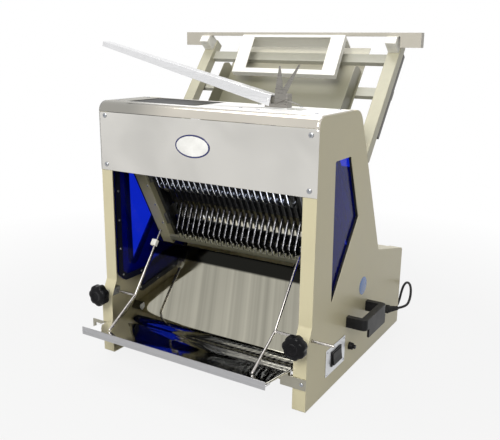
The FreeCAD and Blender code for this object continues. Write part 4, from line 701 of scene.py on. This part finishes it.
def blade_set(name, first, body, clip):
    """Twelve blades, every second slice place, with their clips and pins."""
    places = PITCH * (2 * np.arange(12) + first - 11.5)
    piece(name + "_strips", [blade(x) for x in places], body, "blade_steel", (name,), sharp=25)
    clips = [blade_clip(x, s, *clip) for x in places for s in (BLADE_TOP, BLADE_END)]
    clips += [blade_pin(x, s, BLADE_N + BLADE_W / 2) for x in places for s in (BLADE_TOP, BLADE_END)]
    piece(name + "_clips", clips, body, "clip_steel")


# ---- lower comb
COMB_HALF = 210.0
SLICES = PITCH * np.arange(-11, 12)


def lower_comb():
    """Painted bar across the front with a tooth for each slice, and the polished fingers that stand on it."""
    bar = blade_slab(rounded_rectangle(192.0, 207.0, -3.0, 5.0, 1.0), 0.0, COMB_HALF, 0.5, 3)
    piece("lower_comb_bar", [bar], "frame", "comb_paint_painted_shade", ("lower_comb",))
    outline = np.array([(194, -1), (124, 50), (118, 47), (162, -3), (194, -3), (194, -1)], float)
    fingers = [blade_slab(dense(outline, 12.0)[:-1], x, 1.5, 0.4) for x in SLICES]
    piece("lower_comb_fingers", fingers, "frame", "finger_steel_painted_glints")
    teeth = [blade_slab(rounded_rectangle(182.0, 192.6, -2.5, 2.5, 0.8), x, 4.0, 0.5) for x in SLICES]
    piece("lower_comb_teeth", teeth, "frame", "tooth_paint")


# ---- guide rods and knobs
ROD_R, ROD_X = 3.0, 193.0
ROD_LOW, ROD_KNEE, ROD_TOP = np.array([-70.0, 104.75]), np.array([21.0, 160.0]), np.array([124.0, 298.0])
ROD_BEND = 16.0
RIGHT_STUB, LEFT_STUB = 328.0, 279.0
KNOB_X, KNOB_Y = 264.5, -8.0
LOBES, LOBE_DEPTH = 7, 0.10


def guide_rod(side, body, stub_end):
    """Bent bar beside the slices with a stub through the leg and a weld bead where they meet."""
    x = side * ROD_X
    line = rounded_path([(x, *ROD_LOW), (x, *ROD_KNEE), (x, *ROD_TOP)], [ROD_BEND])
    stub = [(x, *ROD_KNEE), (side * stub_end, *ROD_KNEE)]
    weld = turned((x + side * 1.5, *ROD_KNEE), (side, 0, 0),
                  [(0, -1), (4.4, -1), (4.5, 0.4), (4.0, 1.6), (3.5, 2.6), (3.05, 3.4), (0, 3.4)], 18)
    rod = body.replace("rod", "guide_rod")
    piece(rod + "_bar", [tube(line, ROD_R), tube(stub, ROD_R), weld], body, "rod_steel",
          (rod,))


def rod_clip(side, body):
    """Nylon block on a guide rod's upper run, mostly on its outer side: a rounded slab square to the rod."""
    along = (ROD_TOP - ROD_KNEE) / np.linalg.norm(ROD_TOP - ROD_KNEE)
    across = np.array([-along[1], along[0]])

    def place(a, b, c):
        yz = ROD_TOP + along * c[..., None] + across * b[..., None]
        return np.stack([side * (ROD_X + a), yz[..., 0], yz[..., 1]], -1)
    block = slab(rounded_rectangle(-3.8, 11.0, -6.0, 6.0, 2.2), place, -42.0, -26.0, 1.2)
    piece(body.replace("rod", "guide_rod") + "_clip", [block], body, "nylon")


def lobed(radius, angle):
    """Hand grip outline: shallow flutes that fade out towards the middle."""
    flute = (0.5 - 0.5 * np.cos(LOBES * angle + 0.6)) ** 1.6
    return radius * (1 - LOBE_DEPTH * np.clip((radius - 14.0) / 8.0, 0, 1) * flute)


def clamp_knob(side, body):
    """Moulded star grip on a plated stud: a turned profile whose outer radius is fluted."""
    origin = np.array([side * KNOB_X, KNOB_Y, ROD_KNEE[1]])
    grip = [(0, 0), (8.4, 0), (9, 0.6), (9, 6.6), (10.4, 7.8), (18, 8), (24, 8.4), (25.9, 9.8), (26.4, 12),
            (26.4, 22), (25.9, 25), (24.2, 27.4), (21.4, 29), (17, 29.8), (12.6, 30), (11.2, 29.6),
            (10.2, 28.8), (4, 28.6), (0, 28.6)]
    knob = body.replace("knob", "clamp_knob")
    piece(knob + "_grip", [turned(origin, (0, -1, 0), grip, 84, lobed)], body,
          "knob_plastic", (knob,), sharp=50)
    stud = [(0, 0), (0, -0.1), (4, -0.1), (4, -20.6), (2.6, -22), (0, -22)]
    piece(knob + "_stud", [turned(origin, (0, -1, 0), stud)], body, "zinc_steel")


# ---- blank plates
BADGE_X, BADGE_Z = -16.0, 536.0
BADGE_PLATE, BADGE_OUTER, BADGE_INNER = (44.0, 24.0), (45.0, 25.0), (41.6, 21.6)    # half axes
LABEL_Y, LABEL_Z, LABEL_R = 293.0, 196.0, 22.0


def on_right_side(y, z):
    """Place of a plate's (a, b, c) on the right housing, about (y, z)."""
    return lambda a, b, c: np.stack([HALF + c, a + y, b + z], -1)


def band(outer, inner, place, high):
    """Flat closed band between two outlines: a small section with softened rims, carried round them."""
    rim = [(0.0, 0.0), (0.0, high - 0.2), (0.12, high), (0.88, high), (1.0, high - 0.2), (1.0, 0.0)]
    points = np.stack([place(*(outer * (1 - share) + inner * share).T, np.full(len(outer), height))
                       for share, height in rim])
    return points, True, True


def blank_badge():
    """Plain oval name plate without any lettering, in a plain dark edge strip."""
    def place(a, b, c):
        return np.stack([a + BADGE_X, COVER_Y - c, b + BADGE_Z], -1)
    piece("badge_plate", [slab(oval(*BADGE_PLATE), place, 0.0, 0.75, 0.2)], "frame",
          "label_blank", ("blank_labels",))
    piece("badge_edge", [band(oval(*BADGE_OUTER), oval(*BADGE_INNER), place, 1.0)], "frame",
          "navy_enamel")


def blank_disc():
    """Plain round sticker on the right side."""
    disc = slab(oval(LABEL_R, LABEL_R, 72), on_right_side(LABEL_Y, LABEL_Z), 0.0, 0.6, 0.25)
    piece("round_label", [disc], "frame", "blue_label")


# ---- screws
def separate_solids(cad_node):
    """Vertices of each solid of a CAD node: equal labels spread over its triangles until nothing changes."""
    mesh = frame["nodes"][cad_node].data
    points = np.empty(len(mesh.vertices) * 3)
    mesh.vertices.foreach_get("co", points)
    points = points.reshape(-1, 3)
    mesh.calc_loop_triangles()
    corners = np.empty(len(mesh.loop_triangles) * 3, int)
    mesh.loop_triangles.foreach_get("vertices", corners)
    merged = np.unique(points.round(6), axis=0, return_inverse=True)[1].reshape(-1)
    triangles = merged[corners].reshape(-1, 3)
    labels = np.arange(merged.max() + 1)
    while True:
        spread = labels.copy()
        np.minimum.at(spread, triangles.ravel(), np.repeat(labels[triangles].min(1), 3))
        if (spread == labels).all():
            break
        labels = spread
    of_point = labels[merged]
    return [points[of_point == label] * 1000 - (0, REAR_SHIFT, 0) for label in np.unique(of_point)]


def screw_head(points):
    """Domed head with a cross recess in the place of one CAD head: height = dome(r) - recess(r, angle)."""
    middle = (points.min(0) + points.max(0)) / 2
    axis = np.linalg.svd(points - points.mean(0), full_matrices=False)[2][2]
    height = (points - middle) @ axis
    radius = np.linalg.norm((points - middle) - height[:, None] * axis, axis=1)
    if radius[height > 0].mean() > radius[height < 0].mean():
        axis = -axis
    tall = np.ptp(height)
    share = np.array([0, 0.12, 0.26, 0.42, 0.5, 0.66, 0.84, 0.96, 1.0, 1.0, 0.0])
    level = np.array([1, 1, 0.99, 0.96, 0.94, 0.88, 0.74, 0.52, 0.36, 0.0, 0.0])[:, None]
    angle, ring = circle_about(axis, (0.3, 0.5, 0.81), 24)
    arm = (np.abs(np.mod(angle + np.pi / 4, np.pi / 2) - np.pi / 4) < 0.2)[None]
    deep = np.where(share[:, None] < 0.2, 1.0, np.where(share[:, None] < 0.45, arm, 0.0)) * (level > 0)
    raised = (level - 0.5 * deep) * tall
    base = middle - axis * tall / 2
    return base + raised[..., None] * axis + (share * radius.max())[:, None, None] * ring, False, True


# ---- strain relief, plug and cord
RELIEF_AXIS = np.array([math.cos(math.radians(50)), math.sin(math.radians(50)), 0.0])
RELIEF_ROOT = np.array([287.0, 470.0, 76.0])
NUT_R, SLEEVE_L = 11.5, 28.0
SLEEVE_R, SLEEVE_TIP_R = 9.4, 5.5
GROOVE_PITCH, GROOVE_DEPTH = 4.0, 0.9
CORD_R = 3.25
EXIT = RELIEF_ROOT + RELIEF_AXIS * SLEEVE_L
COIL = np.array([120.0, 645.0, 0.0])
PLUG = np.array([187.25, 689.0, 11.0])


def strain_relief():
    """Six-sided nut on the housing and a tapered sleeve with five ribs and grooves."""
    corners, share = oval(NUT_R, NUT_R, 6)[:, None], np.linspace(0, 1, 6)[:-1, None]
    outline = (corners + (np.roll(corners, -1, 0) - corners) * share).reshape(-1, 2)
    nut = slab(outline, on_right_side(*RELIEF_ROOT[1:]), 0.0, 9.0, 0.8)
    along = np.linspace(0, SLEEVE_L, 57)
    taper = SLEEVE_R - (SLEEVE_R - SLEEVE_TIP_R) * along / SLEEVE_L
    wave = 0.5 - 0.5 * np.cos(2 * np.pi * (along - 5) / GROOVE_PITCH)
    groove = np.where((along > 5) & (along < 25), GROOVE_DEPTH * wave, 0.0)
    profile = [(0, -9), (5, -7.6), (8, -4.6), (9.3, -1.4), *zip(taper - groove, along),
               (4.6, 28.6), (3.3, 28.6), (3.3, 22), (0, 22)]
    points, *wraps = turned(RELIEF_ROOT, RELIEF_AXIS, profile, 30)
    points[..., 0] = np.maximum(points[..., 0], HALF + 0.2)
    return piece("relief_sleeve", [nut, (points, *wraps)], "frame", "rubber", ("strain_relief",),
                 sharp=45)


PIN_Y = 9.5             # from the plug's middle to a pin
PLUG_SECTIONS = [       # x, half width a, half height b, power p
    (-1.0, 4.6, 4.6, 2.0), (0.0, 5.2, 5.2, 2.0), (5.0, 6.2, 6.2, 2.0), (9.0, 7.4, 7.2, 2.0),
    (12.0, 8.8, 8.6, 2.2), (13.4, 12.2, 9.4, 2.5), (16.0, 15.4, 10.5, 3.0), (20.0, 16.8, 11.0, 3.4),
    (30.0, 17.0, 11.0, 3.6), (35.0, 16.9, 10.9, 3.6), (37.2, 16.0, 10.2, 3.4), (38.0, 14.6, 9.2, 3.2)]


def plug():
    """Moulded two-pin plug: superellipse sections carried along x, |y / a| ** p + |z / b| ** p = 1."""
    x, a, b, p = np.array(PLUG_SECTIONS).T[..., None]
    t = np.linspace(0, 2 * np.pi, 48, endpoint=False)
    y = a * np.sign(np.cos(t)) * np.abs(np.cos(t)) ** (2 / p)
    z = b * np.sign(np.sin(t)) * np.abs(np.sin(t)) ** (2 / p)
    body = piece("plug_body", [capped(np.stack([x + 0 * y, y, z], -1) + PLUG)], "frame",
                 "black_plastic", ("mains_plug",), sharp=50)
    pin = [(0, 37), (2.4, 37), (2.4, 55.2), (2.1, 56.3), (1.3, 57), (0, 57)]
    pins = piece("plug_pins", [turned(PLUG + (0, side * PIN_Y, 0), (1, 0, 0), pin, 18) for side in (-1, 1)],
                 "frame", "zinc_steel")
    return body, pins


COIL_POINTS = 16        # control points in one turn
COIL_TURNS = 5.5
COIL_R = 31.0           # middle of the innermost turns


def coil_line():
    """Neat coil of two layers: the turn number t gives radius and height, and the angle runs clockwise.

    The radius is divided by cos(pi / points) because the spline runs inside its control points."""
    t = np.arange(1, int(COIL_POINTS * COIL_TURNS)) / COIL_POINTS
    place = np.interp(t, [0.65, 0.8, 1.65, 1.8, 3.3, 3.5, 4.3, 4.5, 4.95, 5.1],
                      [2, 1, 1, 0, 0, 1, 1, 2, 2, 3])
    radius = (COIL_R + 2 * CORD_R * place) / math.cos(math.pi / COIL_POINTS)
    height = np.interp(t, [2.48, 2.66, 5.1, 5.35], [CORD_R, 3 * CORD_R, 3 * CORD_R, CORD_R])
    angle = -math.pi / 2 - 2 * math.pi * t
    return COIL + np.stack([radius * np.cos(angle), radius * np.sin(angle), height], -1)


def mains_cord():
    """The whole cord as one smooth spline: out of the sleeve, over its loop, to the floor, coil, plug."""
    route = [EXIT - RELIEF_AXIS * 6, EXIT + RELIEF_AXIS * 25,
             (324, 533, 89), (319, 555, 109), (308, 576, 119), (293, 593, 116), (281, 605, 98),
             (274, 612, 74), (269, 617, 49), (261, 620, 25), (244, 618, 8), (218, 610, CORD_R),
             (186, 602, CORD_R), (152, 601, CORD_R), (120, 600.2, CORD_R)]
    tail = [(120, 695.4, CORD_R), (142, 695.4, CORD_R), (160, 693, 4.5), (174, 690, 8.5), PLUG,
            PLUG + (4.75, 0, 0)]
    points = row(np.concatenate([np.array(route, float), coil_line(), np.array(tail, float)]))
    curve = bpy.data.curves.new("mains_cord_line", "CURVE")
    curve.dimensions = "3D"
    line = curve.splines.new("NURBS")
    line.points.add(len(points) - 1)
    line.points.foreach_set("co", np.column_stack([points, np.ones(len(points))]).ravel())
    line.order_u = 3
    line.use_endpoint_u = True
    line.resolution_u = 6
    curve.bevel_depth = CORD_R / 1000
    curve.bevel_resolution = 4
    curve.use_fill_caps = True
    return dressed(bpy.data.objects.new("mains_cord_line", curve), "frame", "cord_jacket",
                   ("mains_cord", "mains_coil"))


TIE_OUT, TIE_IN, TIE_LOW, TIE_HIGH, TIE_HALF = -50.2, -25.0, 0.3, 13.6, 4.0


def coil_tie():
    """Narrow strap over the coil's left side: a flat band along an arch round the turns' section."""
    corners = [(TIE_OUT, TIE_LOW), (TIE_OUT, TIE_HIGH), (TIE_IN, TIE_HIGH), (TIE_IN, TIE_LOW)]
    arch = dense(rounded_path(corners, [4.0, 4.0], 6), 2.0)
    x, y = np.meshgrid(arch[:, 0], np.linspace(-TIE_HALF, TIE_HALF, 5), indexing="ij")
    points = COIL + np.stack([x, y, np.tile(arch[:, 1:], (1, 5))], -1)
    return piece("coil_tie", [(points, False, False)], "frame", "black_plastic", wall=0.8,
                 facing=(0, 0, 1))


# ---- the machine
front_cover()
top_cover()
chute()
blade_set("front_blades", 0, "front_blade_carriage", FRONT_CLIP)
blade_set("rear_blades", 1, "rear_blade_carriage", REAR_CLIP)
guide_rod(1, "right_rod", RIGHT_STUB)
guide_rod(-1, "left_rod", LEFT_STUB)
rod_clip(-1, "left_rod")
lower_comb()
clamp_knob(1, "right_knob")
clamp_knob(-1, "left_knob")
blank_badge()
blank_disc()
piece("screw_heads", [screw_head(points) for points in separate_solids("screws")], "frame",
      "screw_zinc", ("screws",), sharp=30)

# CAD nodes with every hard edge rounded by so many millimetres, and their finish
SOFTENED = {
    "right_side_housing": (1.0, "cream_paint"), "left_side_housing": (1.0, "cream_paint"),
    "rear_slope_cover": (0.5, "cream_paint"), "rear_box_cover": (0.6, "cream_paint"),
    "top_hatch_plate": (0.4, "black_plate"), "blade_rails": (1.0, "olive_paint"),
    "upper_comb": (0.5, "comb_steel"), "feed_floor": (0.5, "floor_paint"),
    "feed_fences": (0.4, "floor_paint"), "feed_rails": (1.2, "rail_paint"),
    "feed_rail_strips": (0.6, "strip_brown"),
    "feed_cross_beams": (0.8, "beam_paint"), "chute_walls": (0.4, "mirror_steel"),
    "tray_lip": (0.5, "brushed_steel"), "tray_straps": (0.6, "strap_steel"),
    "arm_bracket": (0.5, "bracket_steel"), "bagging_arm": (0.4, "arm_steel"),
    "pusher_tray": (1.0, "white_paint"), "pusher_handle": (2.2, "handle_paint"),
    "pusher_pads": (1.0, "nylon"), "switch_plate": (0.5, "aluminium"),
    "switch_bezel": (0.5, "black_plastic"),
    "rocker_switch": (0.5, "black_plastic"), "breaker_body": (0.5, "black_plastic"),
    "reset_button": (0.6, "black_plastic"), "carry_handle": (1.6, "black_plastic"),
    "rubber_feet": (0.8, "rubber"), "nylon_guides": (0.5, "guide_nylon"),
}
for cad_node, (rounding, finish) in SOFTENED.items():
    softened(cad_node, finish, rounding)

# CAD nodes that stay as they are, under their finish
KEPT = {
    "rubber": ["window_gaskets", "drive_belt"],
    "blue_acrylic": ["window_panels"],
    "dark_paint": ["window_retainers", "inner_plates"],
    "cream_paint": ["base_plate"],
    "machined_steel": ["bearing_blocks", "crankshaft", "crank_pulley", "motor_pulley",
                       "front_connecting_rods", "rear_connecting_rods"],
    "motor_grey": ["motor"],
    "zinc_steel": ["motor_mount"],
    "frame_steel": ["front_blade_frame", "rear_blade_frame"],
}
for finish, cad_nodes in KEPT.items():
    for cad_node in cad_nodes:
        surfaces = frame["nodes"][cad_node].data.materials
        surfaces.clear()
        surfaces.append(FINISH[finish])

# ---- cord
sleeve = strain_relief()
plug_body, plug_pins = plug()
tie = coil_tie()
cord = mains_cord()


# ---- studio
WHITE = (1.0, 1.0, 1.0, 1.0)
FLOOR_HALF = 9.0
SHADOW_R, WHITE_R = 0.7, 1.6        # from the floor's shadow to plain white
LIT_PLACE = (0.0, 0.0, 0.35)


def seen_directly(tree):
    """Mask of camera, glossy and transmission rays, which show the background itself."""
    rays = tree.nodes.new("ShaderNodeLightPath").outputs
    bounced = math_node(tree, "MAXIMUM", rays["Is Glossy Ray"], rays["Is Transmission Ray"])
    return math_node(tree, "MAXIMUM", rays["Is Camera Ray"], bounced)


def show(tree, share, plain, shown, output):
    """Sends a mix of two shaders by a mask to the output node."""
    connect(tree, output, Surface=node(tree, "MixShader", i0=share, i1=plain, i2=shown))


def studio_floor():
    """Plain floor that keeps the shadow under the machine and turns white away from it."""
    tree, shader = material("pale_floor")
    tree.nodes.remove(shader)
    away = node(tree, "VectorMath", {"operation": "LENGTH"}, i0=object_place(tree)).node.outputs["Value"]
    open_floor = node(tree, "MapRange", Value=away, i1=SHADOW_R, i2=WHITE_R, i3=0.86, i4=1.0)
    show(tree, math_node(tree, "MULTIPLY", seen_directly(tree), open_floor),
         node(tree, "BsdfDiffuse", Color=(0.36, 0.36, 0.36, 1.0)),
         node(tree, "Emission", Color=WHITE, Strength=1.0), tree.nodes["Material Output"])
    corners = [(x * FLOOR_HALF, y * FLOOR_HALF, 0) for x, y in ((-1, -1), (1, -1), (1, 1), (-1, 1))]
    mesh = bpy.data.meshes.new("studio_floor")
    mesh.from_pydata(corners, [], [(0, 1, 2, 3)])
    mesh.materials.append(FINISH["pale_floor"])
    floor = bpy.data.objects.new("studio_floor", mesh)
    bpy.context.collection.objects.link(floor)


def studio_world():
    """Soft light from all round, behind a white background."""
    world = bpy.data.worlds.new("studio")
    bpy.context.scene.world = world
    world.use_nodes = True
    tree = world.node_tree
    tree.nodes.clear()
    show(tree, seen_directly(tree), node(tree, "Background", Color=(1.0, 0.99, 0.97, 1.0), Strength=0.36),
         node(tree, "Background", Color=WHITE, Strength=1.0), tree.nodes.new("ShaderNodeOutputWorld"))


def softbox(name, place, size, power, color=(1.0, 1.0, 1.0)):
    """Square area lamp that faces the machine."""
    lamp = bpy.data.lights.new(name, "AREA")
    lamp.shape, lamp.size, lamp.energy, lamp.color = "SQUARE", size, power, color
    obj = bpy.data.objects.new(name, lamp)
    obj.location = place
    obj.rotation_euler = (Vector(LIT_PLACE) - Vector(place)).to_track_quat("-Z", "Y").to_euler()
    bpy.context.collection.objects.link(obj)


studio_floor()
studio_world()
softbox("key", (0.5, -2.6, 2.1), 1.6, 76.0, (1.0, 0.99, 0.96))
softbox("fill", (2.4, -0.6, 1.6), 1.8, 2.0)
softbox("overhead", (-0.3, 0.2, 3.0), 2.2, 46.0)

# ---- camera
RIGHT = (0.85496146, 0.51853766, 0.01263366)
UP = (-0.14284139, 0.21196123, 0.96678269)
AHEAD = (-0.49863539, 0.82836655, -0.25528732)
CAMERA_PLACE = (0.81529, -1.35436, 0.74670)
FOCAL, SENSOR = 47.77, 36.0
lens = bpy.data.cameras.new("camera")
lens.lens, lens.sensor_width, lens.sensor_fit = FOCAL, SENSOR, "HORIZONTAL"
lens.clip_start, lens.clip_end = 0.05, 60.0
camera = bpy.data.objects.new("camera", lens)
axes = Matrix((RIGHT, UP, tuple(-v for v in AHEAD))).transposed()
camera.matrix_world = Matrix.Translation(CAMERA_PLACE) @ axes.to_4x4()
bpy.context.collection.objects.link(camera)
bpy.context.scene.camera = camera
bpy.context.scene.view_settings.view_transform = "Standard"
